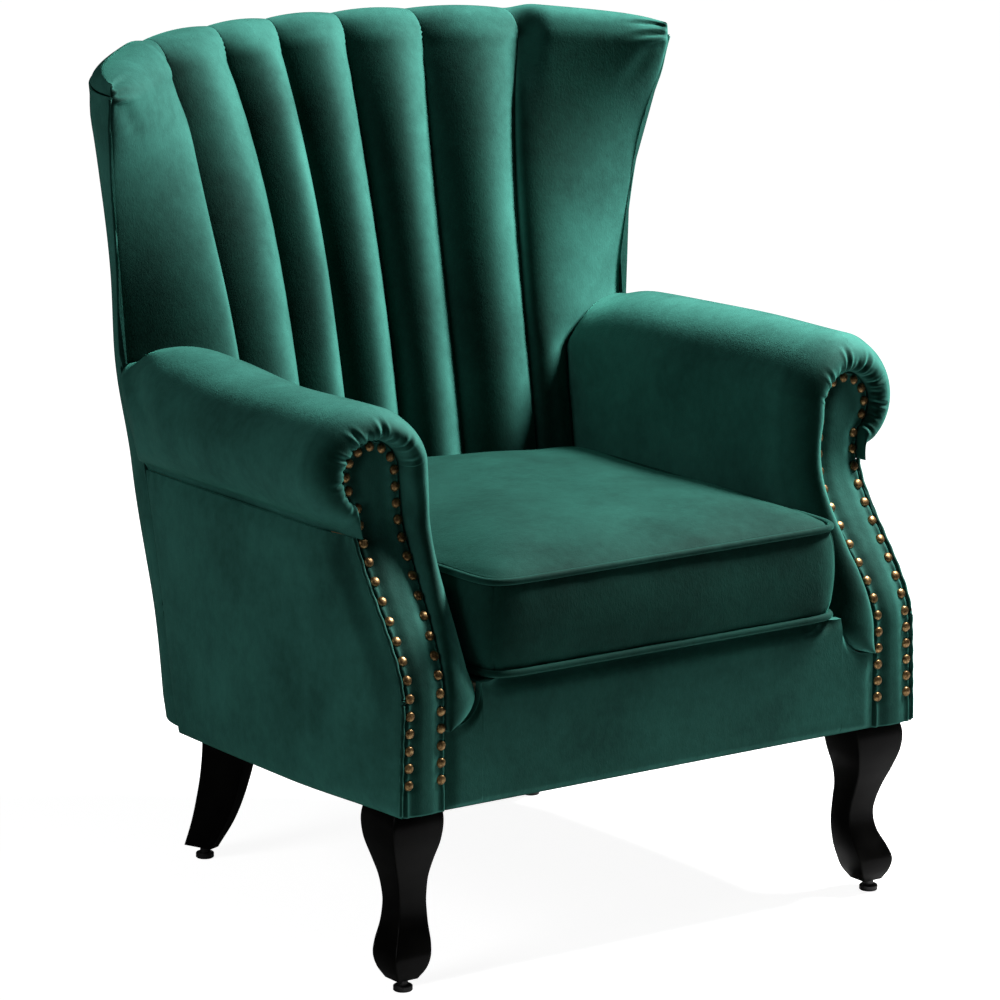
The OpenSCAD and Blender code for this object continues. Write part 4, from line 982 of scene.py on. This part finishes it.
def arm_loop(place, outer, inner, side):
    """The loop's points at a place along the path, and how far each moves into the pad."""
    (x0, z0), (x_in, z_in) = outer, inner
    m = sweep_mix(z0)
    full = lerp(PUFF_LOW, PUFF_HIGH, m) + PUFF_INSIDE * m * smooth((place - 9) / 5)
    narrow = UNDER_NARROWS * (1 - smooth(place / 2))
    points, moves = [], []
    for n in range(FRONT_STEPS + 1):
        f = n / FRONT_STEPS
        share = through(IN_SHARE, f)
        x, z = lerp(x0 - narrow, x_in, share), lerp(z0 + roll_lift(z0, 0, side), z_in, share)
        y = sweep_y(z) + through(DEPTH_IN, f) * through(FRONT_DEPTH, z) - full * through(FULLNESS, f)
        points.append([x, y, z])
        moves.append(pleat_depth(place, f) * sweep_mix(z) ** 0.5)
    shoulder = SHOULDER_IN * smooth((z0 - 505) / 50)
    for n in range(1, ROLL_STEPS + 1):
        t = n / ROLL_STEPS
        front, rear = sweep_y(z0) + through(FRONT_DEPTH, z0), pad_rear_y(x0, z0) - shoulder
        sag = SAG * math.sin(9 * t + 0.6 * place) * math.sin(math.pi * t)
        x, z = shouldered(x0 - narrow * (1 - smooth(t / 0.1)), z0 + roll_lift(z0, t, side), t)
        points.append([x, lerp(front, rear, t), z])
        moves.append(sag * smooth((z0 - 400) / 150))
    x0, z1 = shouldered(x0, z0 + roll_lift(z0, 1, side), 1)
    x_end = min(x_in, SCROLL_X)
    for n in range(1, REAR_STEPS + 1):
        a = n / REAR_STEPS
        turn = min(a / 0.4, 1) * math.pi / 2
        share = 0.22 * (1 - math.cos(turn)) + 0.76 * smooth((a - 0.25) / 0.75)
        x, z = lerp(x0, x_end, share), lerp(z1, z_in, share)
        points.append([x, pad_rear_y(x, z) - shoulder * (1 - math.sin(turn)), z])
        moves.append(0)
    for n in range(INSIDE_STEPS + 1):
        t = 1 - n / INSIDE_STEPS
        x, y0 = lerp(x_in, x_end, smooth((t - 0.8) / 0.2)), sweep_y(z_in) + 3
        points.append([x, lerp(y0, pad_rear_y(x, z_in) - 4, t), z_in])
        moves.append(0)
    return points, moves


middle = len(outer_fine) // 2
one_loop, _ = arm_loop(middle / PATH_STEPS, outer_fine[middle], inner_fine[middle], "right")
print("points in one loop:", len(one_loop))


# %% Build the arm pads
for side in SIDES:
    loops = [arm_loop(n / PATH_STEPS, o, i, side) for n, (o, i) in enumerate(zip(outer_fine, inner_fine))]
    grid = np.array([points for points, _ in loops]).transpose(1, 0, 2)
    moves = np.array([m for _, m in loops]).T
    pad = skin_mesh(f"{side}_arm_cover", on_side(pushed(grid, -moves), side), loop=True, caps=True)
    dress(pad, velvet, "velvet", f"{side}_arm_pad", fill=0.8)

# %% [markdown]
# ## The nailed facings
# A facing is a shaped board covered with thin wadding and cloth, and fixed with a row of decorative
# nails along each edge. The cloth is pulled down at every nail and puffs up a little between the two
# rows.

# %% Build the facings
FACING_BACK, DIMPLE, DIMPLE_MOST, PUFF, PUFF_FROM = 11.5, 1.7, 1.9, 2.4, 6
EDGE_TURN, EDGE_ROUND, DIMPLE_REACH, RIDGE_IN, RIDGE_WIDTH = 3.0, 3.5, 7.8, 3.4, 2.6


def facing_span(z):
    """The inner and outer edge of the facing at a height."""
    low_out = SCROLL_Z + SCROLL_R * math.sin(OUT_TURN)
    low_in = SCROLL_Z + SCROLL_R * math.sin(IN_TURN)
    arc = math.sqrt(max(SCROLL_R**2 - (z - SCROLL_Z) ** 2, 0))
    a = facing_in(z) if z < low_in else SCROLL_X - arc
    b = facing_out(z) if z < low_out else SCROLL_X + arc
    return a, b


def facing_rows():
    rows = []
    levels = [lerp(FOOT_Z, SCROLL_Z, i / 150) for i in range(150)]
    levels += [SCROLL_Z + SCROLL_R * math.sin(math.pi / 2 * i / 24) for i in range(25)]
    near = np.array([n[:3] for n in nails])
    for z in levels:
        a, b = facing_span(z)
        row = [[a, sweep_y(z) + FACING_BACK, z]]
        for x in [lerp(a, b, u) for u in packed(24)]:
            edge = min(x - a, b - x)
            turn = EDGE_TURN * (1 - smooth(edge / EDGE_ROUND))
            puff = PUFF * smooth((edge - PUFF_FROM) / 16)
            far = np.hypot(near[:, 0] - x, near[:, 2] - z)
            dimple = DIMPLE * float(np.exp(-(far / DIMPLE_REACH) ** 2).sum())
            raised = math.exp(-((edge - RIDGE_IN) / RIDGE_WIDTH) ** 2)
            ridge = (0.5 + 1.1 * between_nails(z)) * raised
            row.append([x, sweep_y(z) - 0.4 + turn - puff - ridge + min(dimple, DIMPLE_MOST), z])
        row.append([b, sweep_y(z) + FACING_BACK, z])
        rows.append(row)
    return np.array(rows)


for side in SIDES:
    facing = skin_mesh(f"{side}_facing_cover", on_side(facing_rows(), side), ring=True, caps=True)
    dress(facing, velvet, "velvet", f"{side}_arm_facing", fill=0.9)

# %% [markdown]
# ## Decorative nails
# Each nail is a shallow brass dome with a small rolled rim. All the nails of one arm are one piece,
# because they are the same nail many times. The dome is turned like a lathe profile, then tilted to
# the flat that it is driven into.

# %% Build the nails
DOME_R, DOME_FOOT, DOME_H = 5.35, 0.55, 2.55
NAIL_PROFILE = [(5.5, -0.6), (5.6, 0.15), (DOME_R, DOME_FOOT)]
NAIL_PROFILE += [(DOME_R * math.cos(t), DOME_FOOT + DOME_H * math.sin(t))
                 for t in [math.pi / 2 * i / 7 for i in range(1, 8)]]


def nail_rows(x, y, z, lean):
    """Rings of 20 points up the nail's profile. The last one closes almost to a point."""
    rows = []
    for r, out in NAIL_PROFILE:
        row = []
        for a in [2 * math.pi * k / 20 for k in range(20)]:
            px, pz = max(r, 0.02) * math.cos(a), max(r, 0.02) * math.sin(a)
            row.append([x + px, y - out * math.cos(lean) + pz * math.sin(lean),
                        z + out * math.sin(lean) + pz * math.cos(lean)])
        rows.append(row)
    return np.array(rows)


for side in SIDES:
    made = [skin_mesh(f"nail_{side}_{n}", on_side(nail_rows(*place), side), ring=True, caps=True)
            for n, place in enumerate(nails)]
    dress(joined(f"{side}_nails", made), brass, "brass", f"{side}_nailheads")

# %% [markdown]
# ## The side covers
# Under the roll a plain cloth covers the side of the chair from the facing to the outside cover. It
# bows outwards a little over its wadding, turns under at its foot, and is sewn to the roll with a
# seam that puckers slightly. A fine cord finishes it where it meets the facing.

# %% Build the side covers
ROW_FULL = [(0, 0.2), (0.03, 0.75), (0.1, 1), (0.3, 1.0), (0.55, 0.9), (0.94, 0.75), (1, 0.25)]
SIDE_TOP, SIDE_DROP, SIDE_T, SIDE_BOW = 486.1, 6, 4, 13
FRONT_CORD_R, FRONT_CORD_TOP = 2.3, 487


def side_grid():
    rings = []
    for t in packed(72):
        low = FOOT_Z - SIDE_DROP * smooth(2 * t)
        outer, inner = [], []
        for w in [j / 48 for j in range(49)]:
            z = lerp(low, SIDE_TOP, w)
            y = lerp(sweep_y(z), edge_y(z) - 2 * GAP, t)
            x = lerp(facing_out(z), FACING_OUT, smooth((y - sweep_y(z) - 12) / 38)) + GAP
            full = through(ROW_FULL, w)
            seam = 0.7 * math.sin(0.45 * y + 2 * math.sin(0.09 * y)) * math.exp(-(1 - w) / 0.035)
            bow = SIDE_BOW * full * math.sin(math.pi * t) ** 0.7
            outer.append([x + SIDE_T * (0.4 + 0.6 * full) + bow + seam, y, z])
            inner.append([x, y, z])
        rings.append(outer + inner[::-1])
    return rings


cord_line = [[facing_out(z) + 1.8 + 0.9 * between_nails(z), sweep_y(z) + 0.8, z]
             for z in [lerp(FOOT_Z + 2, FRONT_CORD_TOP, i / 160) for i in range(161)]]
for side in SIDES:
    cover = skin_mesh(f"{side}_side_skin", on_side(side_grid(), side), ring=True, caps=True, sharp=60)
    piping = cord_mesh(f"{side}_front_piping", on_side(cord_line, side), FRONT_CORD_R)
    dress(joined(f"{side}_side_cover", [cover, piping]), velvet, "velvet", f"{side}_side_panel")

# %% [markdown]
# ## The front cover
# Between the facings a plain cloth covers the front rail. Its top corners give way to the toes of the
# arm pads. A little wadding makes it swell very slightly, and it turns under at its foot. Its upper
# edge is pulled in under the cushion, which leaves a line of shadow there.

# %% Build the front cover
def apron_top(x):
    """The height of the cover's upper edge at a distance from the middle."""
    x = abs(x)
    r = TOE + GAP
    if x <= WALL_X - GAP:
        return DECK_Z - GAP
    c = (x - WALL_X - TOE) / r
    return PAD_FOOT + TOE - r * math.sqrt(max(1 - c * c, 0))


FRONT_T, FRONT_SWELL, PULLED_IN, PULLED_HEIGHT = 12, 3.0, 9, 22
BY_THE_TOE = (-0.6, -0.35, -0.29, 0.5, 2, 5, 9, 16)


def build_front():
    half = FACING_IN - GAP
    rings = []
    places = sorted([lerp(-half, half, i / 120) for i in range(121)]
                    + [s * (WALL_X + d) for s in (-1, 1) for d in BY_THE_TOE])
    for x in places:
        top, under = apron_top(x), 1 - smooth((abs(x) - WALL_X + 30) / 25)
        outer, inner = [], []
        for w in packed(24):
            z = lerp(FOOT_Z, top, w)
            swellness = smooth(w / 0.06) * smooth((1 - w) / 0.10) * smooth((half - abs(x)) / 14)
            wander = 0.5 * math.sin(x / 43 + 1) * math.sin(math.pi * w)
            inwards = PULLED_IN * under * smooth((z - top + PULLED_HEIGHT) / PULLED_HEIGHT) ** 2
            outer.append([x, FRONT_Y + 1.2 - (FRONT_SWELL + wander) * swellness + inwards, z])
            inner.append([x, FRONT_Y + FRONT_T, z])
        rings.append(outer + inner[::-1])
    return skin_mesh("front_cover", rings, ring=True, caps=True, sharp=60)


dress(build_front(), velvet, "velvet", "front_apron")

# %% [markdown]
# ## The loose cushion
# The cushion is a box of cloth over foam and fibre: a top, a bottom and a side band, joined by two
# welts. The foam is a little larger than its cover, so the top crowns, the band bulges, and the cloth
# dips on both sides of each welt. Its rear edge follows the round of the channels.

# %% The cushion's outline
CUSHION_W, BAND_H, CROWN, WELT = WALL_X - 3.3, 100, 32, 4
CUSHION_FRONT, CUSHION_FOOT = -DEPTH / 2, DECK_Z + GAP
LOW_WELT = CUSHION_FOOT + 1.6 * WELT
HIGH_WELT = LOW_WELT + BAND_H
REAR_ROUND, BEHIND_IT = 44, 5


def cushion_rear(z):
    return seam_y(0, min(z, HIGH_WELT)) - BULGE - BEHIND_IT


def cushion_ring(z, inset, count=160):
    """A ring round the cushion: nearly a box at its edge, and rounder the further in it lies."""
    ring = []
    for j in range(count):
        eighth = 8 * (j + 0.5) / count
        sx = math.sin(math.pi / 2 * clamp(abs(eighth - 4) - 2, -1, 1))
        sy = math.sin(math.pi / 2 * clamp(2 - abs((eighth + 2) % 8 - 4), -1, 1))
        power = lerp(18, 3, clamp(inset / CUSHION_W))
        r = 1 / (abs(sx) ** power + abs(sy) ** power) ** (1 / power)
        cx, cy = sx * r, sy * r
        x = (CUSHION_W - inset) * cx
        half = (cushion_rear(z) - CUSHION_FRONT) / 2
        y = CUSHION_FRONT + half + (half - inset) * cy
        bow = smooth(abs(x) / (CUSHION_W * 0.63))
        ring.append([x, y - REAR_ROUND * bow * smooth(cy), z])
    return np.array(ring)


print("cushion, front to rear in mm:", round(cushion_rear(HIGH_WELT) - CUSHION_FRONT))

# %% [markdown]
# ## Filling the cushion
# The rows below make the sewn and filled shape: up the band, then inwards over the crown. Blender's
# cloth could be inflated for this. Here the crown's curve was known from the look of such cushions, so
# small moves along the skin do it and give the same result each run. The filling is pressed down in
# places, and the band creases where it is sewn to the welts.

# %% The cushion's rows, from its underside to its crown
SIDE_BAND = [(0, 1), (0.12, 0.45), (0.3, 0.12), (0.5, 0), (0.7, 0.12), (0.88, 0.45), (1, 1)]
CROWN_UP = [(0, 0), (0.05, 0.2), (0.14, 0.44), (0.26, 0.67), (0.42, 0.86), (0.6, 0.96), (0.78, 1),
            (1, 1)]


def cushion_rows():
    rows = [cushion_ring(CUSHION_FOOT, CUSHION_W * w) for w in (0.9, 0.6, 0.35, 0.15, 0.09)]
    rows.append(cushion_ring(CUSHION_FOOT + 0.8, 11.5))
    rows.append(cushion_ring(LOW_WELT - 3.2, 8.8))
    for n in range(25):
        w = n / 24
        rows.append(cushion_ring(lerp(LOW_WELT + 2.6, HIGH_WELT - 2.6, w), 6.6 * through(SIDE_BAND, w)))
    for n in range(30):
        c = (n / 29) ** 1.5
        inset = lerp(9.0, CUSHION_W * 0.93, c)
        rows.append(cushion_ring(HIGH_WELT + 2.4 + (CROWN - 2.4) * through(CROWN_UP, c), inset))
    return np.array(rows)


print("rows of the cushion:", len(cushion_rows()))


# %% Dents, creases, and the finished cushion
def filled(grid):
    """Soft dents in the crown, and short creases where the band is sewn to its welts."""
    amounts = np.zeros(grid.shape[:2])
    for i, row in enumerate(grid):
        for j, (x, y, z) in enumerate(row):
            if z > HIGH_WELT + 3:
                dent = 1.5 * math.sin(x / 47 + 0.8) * math.sin(y / 61 + 2.1)
                dent += 0.7 * math.sin(x / 23 - y / 31)
                amounts[i, j] = dent * smooth((z - HIGH_WELT - 3) / 8)
            elif LOW_WELT + 2 < z < HIGH_WELT - 2:
                near = math.exp(-min(z - LOW_WELT, HIGH_WELT - z) / 18)
                crease = 0.9 * near * math.sin(1.25 * j + 2 * math.sin(0.23 * j))
                amounts[i, j] = crease + math.sin(0.17 * j + z / 30)
    return pushed(grid, amounts, ring=True)


cushion_skin = skin_mesh("cushion_skin", filled(cushion_rows()), ring=True, caps=True)
dress(cushion_skin, less_painted_sheen_velvet, "velvet", "seat_cushion", body="seat_cushion", fill=0.8)

# %% [markdown]
# ## The cushion's welts
# Two cords run right round the cushion, wrapped in the same velvet. They follow the cushion's own
# outline a few millimetres inside its widest line.

# %% Build the welts
for name, node, z in (("cushion_upper_cord", "cushion_top_welt", HIGH_WELT),
                      ("cushion_lower_cord", "cushion_bottom_welt", LOW_WELT)):
    dress(cord_mesh(name, cushion_ring(z, WELT, 200), WELT, closed=True, sides=12),
          less_painted_sheen_velvet, "velvet", node, body="seat_cushion")

# %% [markdown]
# ## The deck
# Lift the cushion and there is a plain deck: foam over webbing, with cloth pulled over it. It is cut to
# the space between the arms and reaches from the front rail to the round of the channels, so its
# depth varies. It is nearly flat, and crowns by a millimetre where the foam lifts it.

# %% Build the deck
DECK_HALF, DECK_FRONT = WALL_X - GAP, FRONT_Y + FRONT_T + GAP
FOAM_LOW, FOAM_TOP, CLOTH_LOW = 290, 333.4, 333.8


def deck_rear(x):
    """The deck's rear edge at a distance from the middle."""
    inner = seam_x(1, DECK_Z)
    t = clamp((abs(x) - inner) / (DECK_HALF - inner))
    return lerp(seam_y(1, DECK_Z), seam_y(2, DECK_Z), t)


deck_across = [lerp(-DECK_HALF, DECK_HALF, i / 60) for i in range(61)]


def deck_slab(name, z0, z1, crown):
    columns = []
    for x in deck_across:
        top, under = [], []
        for w in [j / 60 for j in range(61)]:
            y = lerp(DECK_FRONT, deck_rear(x), w)
            dome = (1 - abs(x / DECK_HALF) ** 4) * (1 - abs(2 * w - 1) ** 4)
            top.append([x, y, z1 - 1 + crown * dome])
            under.append([x, y, z0])
        columns.append(top + under[::-1])
    return skin_mesh(name, columns, ring=True, caps=True, sharp=50)


dress(deck_slab("deck_padding", FOAM_LOW, FOAM_TOP, 0.4), foam, "foam", "deck_pad", fill=0.9)
deck_cloth = dress(deck_slab("deck_cloth", CLOTH_LOW, DECK_Z, 1.0), velvet, "velvet", "deck_cover")

# %% The depths of the deck cloth, front to rear, in metres
cloth_depths = [(deck_rear(x) - DECK_FRONT) * MM for x in deck_across]

# %% [markdown]
# ## Front legs
# The front legs are turned out of square blocks on a bandsaw: one curve is sawn from the side, the
# same curve from the front. So every level is a rectangle, and its four edges run down the leg as
# crisp ridges. The lacquer softens them by about two millimetres.

# %% Rows of a leg
def rounded_rectangle(x0, x1, y0, y1, z, r):
    """A level ring of the leg. Each corner is a quarter circle of four steps."""
    r = min(r, (x1 - x0) / 2.2, (y1 - y0) / 2.2)
    row = []
    corners = ((x1 - r, y1 - r), (x0 + r, y1 - r), (x0 + r, y0 + r), (x1 - r, y0 + r))
    for n, (cx, cy) in enumerate(corners):
        for k in range(5):
            a = math.radians(90 * (n + k / 4))
            row.append([cx + r * math.cos(a), cy + r * math.sin(a), z])
    return row


LEG_W, LEG_FOOT, LEG_TOP, LEG_SOFT = 59, 13, 206, 2.2
OUTER = [(0, -0.17), (0.06, -0.07), (0.13, -0.03), (0.20, -0.10), (0.30, -0.245), (0.40, -0.30),
         (0.48, -0.27), (0.58, -0.18), (0.68, -0.06), (0.79, 0.05), (0.88, 0.08), (0.94, 0.055), (1, -0.02)]
INNER = [(0, 0.38), (0.06, 0.26), (0.13, 0.19), (0.22, 0.13), (0.35, 0.10), (0.48, 0.12),
         (0.58, 0.14), (0.68, 0.11), (0.79, 0.03), (0.90, -0.02), (1, -0.03)]
LEG_X, LEG_Y = FACING_OUT - 2, FRONT_Y + 19


def front_leg_rows():
    rows = []
    for i in range(91):
        t = i / 90
        z = lerp(LEG_FOOT, LEG_TOP, t)
        o, n = LEG_W * through(OUTER, t), LEG_W * (1 - through(INNER, t))
        rows.append(rounded_rectangle(LEG_X - n, LEG_X + o, LEG_Y - o, LEG_Y + n, z, LEG_SOFT))
    return np.array(rows)


print("rows of a front leg:", len(front_leg_rows()))

# %% [markdown]
# ## Rear legs
# A rear leg is a board sawn to a sabre curve that kicks back at the floor, and it thins towards its
# foot. It stands a little turned out.

# %% Build the legs
REAR_BACK = [(0, 1), (0.15, 0.66), (0.3, 0.4), (0.48, 0.16), (0.68, 0.02), (1, 0)]
REAR_FRONT = [(0, 0), (0.2, 0.42), (0.42, 0.72), (0.65, 0.92), (1, 1)]
REAR_TURN = math.radians(22)
REAR_X, REAR_LEG_Y, REAR_TOP = 217, FRONT_Y + 540, 202.5
REAR_HALF, KICK, REAR_FOOT_D, REAR_SOFT = 32, 31, 38, 2.0
REAR_THIN, REAR_THICK = 17, 30


def rear_leg_rows():
    rows = []
    for i in range(81):
        t = i / 80
        z = lerp(LEG_FOOT, REAR_TOP, t)
        back = REAR_HALF + KICK * through(REAR_BACK, t)
        front = lerp(REAR_HALF + KICK - REAR_FOOT_D, -REAR_HALF, through(REAR_FRONT, t))
        half = lerp(REAR_THIN, REAR_THICK, t) / 2
        row = rounded_rectangle(-half, half, front, back, z, REAR_SOFT)
        c, s = math.cos(REAR_TURN), math.sin(REAR_TURN)
        rows.append([[REAR_X + x * c + y * s, REAR_LEG_Y - x * s + y * c, h] for x, y, h in row])
    return np.array(rows)


for side in SIDES:
    for where, rows in (("front", front_leg_rows()), ("rear", rear_leg_rows())):
        leg = skin_mesh(f"{where}_{side}_lacquered_leg", on_side(rows, side), ring=True, caps=True,
                        sharp=40)
        dress(leg, lacquer, "black_lacquer", f"{where}_{side}_leg")

# %% [markdown]
# ## The solids that stay
# The frame's boards, straps, bolts and levelling feet are right as they are, so they only get their
# finish. Each solid's own material slots are filled, and the solid isn't moved.

# %% Finishes for the solids that stay
STAY = {
    pine: ["front_rail", "left_side_rail", "right_side_rail", "corner_blocks", "left_arm_stump",
           "right_arm_stump", "left_arm_rail", "right_arm_rail", "left_back_post", "right_back_post",
           "left_wing_post", "right_wing_post"],
    plywood: ["back_base_rail", "back_top_rail", "lower_back_rail", "left_wing_frame", "right_wing_frame"],
    webbing: ["seat_webbing", "back_webbing"],
    lining: ["dust_cover"],
    zip_tape: ["cushion_zip"],
    steel: ["leg_bolts", "leg_inserts", "front_left_stud", "front_right_stud", "rear_left_stud",
            "rear_right_stud"],
    plastic: ["front_left_foot", "front_right_foot", "rear_left_foot", "rear_right_foot"],
}
for finish, names in STAY.items():
    for name in names:
        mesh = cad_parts[name].data
        mesh.materials.clear()
        mesh.materials.append(finish)
print("solids that stay:", sum(len(n) for n in STAY.values()))

# %% [markdown]
# ## Floor, light and background
# The picture has a plain white ground. The floor is a large pale sheet that glows for the camera only,
# a little less near the chair, so that the shadow stays. The world beyond it is white where the camera
# looks, while its light on the chair stays soft. One lamp stands near the chair, to the right, above
# and a little in front: its light crosses the back, so every channel has a bright and a dark flank, and
# it fades towards the floor. A large weak lamp fills the left side.

# %% The floor
FLOOR_REACH, FLOOR_Z = 30000, -0.6


def grey(value):
    return (value, value, value)


edges = (-FLOOR_REACH, FLOOR_REACH)
floor = skin_mesh("studio_floor", [[[x, y, FLOOR_Z] for x in edges] for y in edges])
paper = Finish("floor_paper")
mottle = paper.noise(0.6, detail=1.0)
seen = paper.add("ShaderNodeLightPath")
away = paper.add("ShaderNodeVectorMath", {"operation": "LENGTH"}, {0: paper.place()}, output=1)
glare = seen * paper.ramp(away * 0.25, [(0.25, grey(0.93)), (0.75, grey(1))])
paper.set(Base_Color=paper.ramp(mottle, [(0.3, grey(0.60)), (0.7, grey(0.64))]), Roughness=0.9,
          Specular_IOR_Level=0.0, Emission_Strength=1.0,
          Emission_Color=paper.ramp(glare, [(0, grey(0)), (1, grey(1))]))
floor.data.materials.append(paper.material)
print("floor, metres across:", 2 * FLOOR_REACH * MM)

# %% The world behind it
SOFT_LIGHT, WHITE = 0.028, 1.0
world = bpy.data.worlds.new("studio")
bpy.context.scene.world = world
world.use_nodes = True
nodes, links = world.node_tree.nodes, world.node_tree.links
nodes.clear()
path, looked_at = nodes.new("ShaderNodeLightPath"), nodes.new("ShaderNodeMath")
looked_at.operation = "MAXIMUM"
links.new(path.outputs["Is Camera Ray"], looked_at.inputs[0])
links.new(path.outputs["Is Transmission Ray"], looked_at.inputs[1])
mix = nodes.new("ShaderNodeMixShader")
links.new(looked_at.outputs[0], mix.inputs[0])
for place, strength in ((1, SOFT_LIGHT), (2, WHITE)):
    sky = nodes.new("ShaderNodeBackground")
    sky.inputs["Color"].default_value, sky.inputs["Strength"].default_value = (1, 1, 1, 1), strength
    links.new(sky.outputs[0], mix.inputs[place])
links.new(mix.outputs[0], nodes.new("ShaderNodeOutputWorld").inputs["Surface"])
print("light of the world on the chair:", SOFT_LIGHT)


# %% The lamps
def soft_lamp(name, place, target, size, power):
    light = bpy.data.lights.new(name, "AREA")
    light.shape, light.size, light.energy = "DISK", size, power
    lamp = bpy.data.objects.new(name, light)
    lamp.location = place
    lamp.rotation_mode = "QUATERNION"
    lamp.rotation_quaternion = (Vector(target) - Vector(place)).to_track_quat("-Z", "Y")
    bpy.context.scene.collection.objects.link(lamp)
    return lamp


lamps = [
    soft_lamp("left_lamp", (-3.2, -0.6, 2.0), (0, 0, 0.5), 1.4, 23),
    soft_lamp("near_right_lamp", (1.2, -0.5, 1.75), (-0.1, 0.2, 0.7), 0.5, 104),
]
print("lamps:", [lamp.name for lamp in lamps])

# %% [markdown]
# ## The camera
# The camera stands where the picture was taken: about 35 degrees to the chair's side, 13 degrees up
# and nearly six metres away, with a long lens. A small shift brings the chair to its place in the
# frame.

# %% Place the camera
AZIMUTH, ELEVATION = math.radians(-34.90), math.radians(12.70)
LOOKED_AT, DISTANCE = Vector((0, -0.0215, 0.45)), 5.870
back = Vector((math.sin(AZIMUTH) * math.cos(ELEVATION), -math.cos(AZIMUTH) * math.cos(ELEVATION),
               math.sin(ELEVATION)))
lens = bpy.data.cameras.new("studio_camera")
lens.sensor_width, lens.lens = 36, 187.2
lens.shift_x, lens.shift_y = 0.0192, -0.0122
lens.clip_start, lens.clip_end = 0.1, 200
camera = bpy.data.objects.new("studio_camera", lens)
camera.location = LOOKED_AT + back * DISTANCE
camera.rotation_mode = "QUATERNION"
camera.rotation_quaternion = back.to_track_quat("Z", "Y")
bpy.context.scene.collection.objects.link(camera)
bpy.context.scene.camera = camera
bpy.context.scene.view_settings.view_transform = "Standard"
print("camera at", [round(c, 2) for c in camera.location])
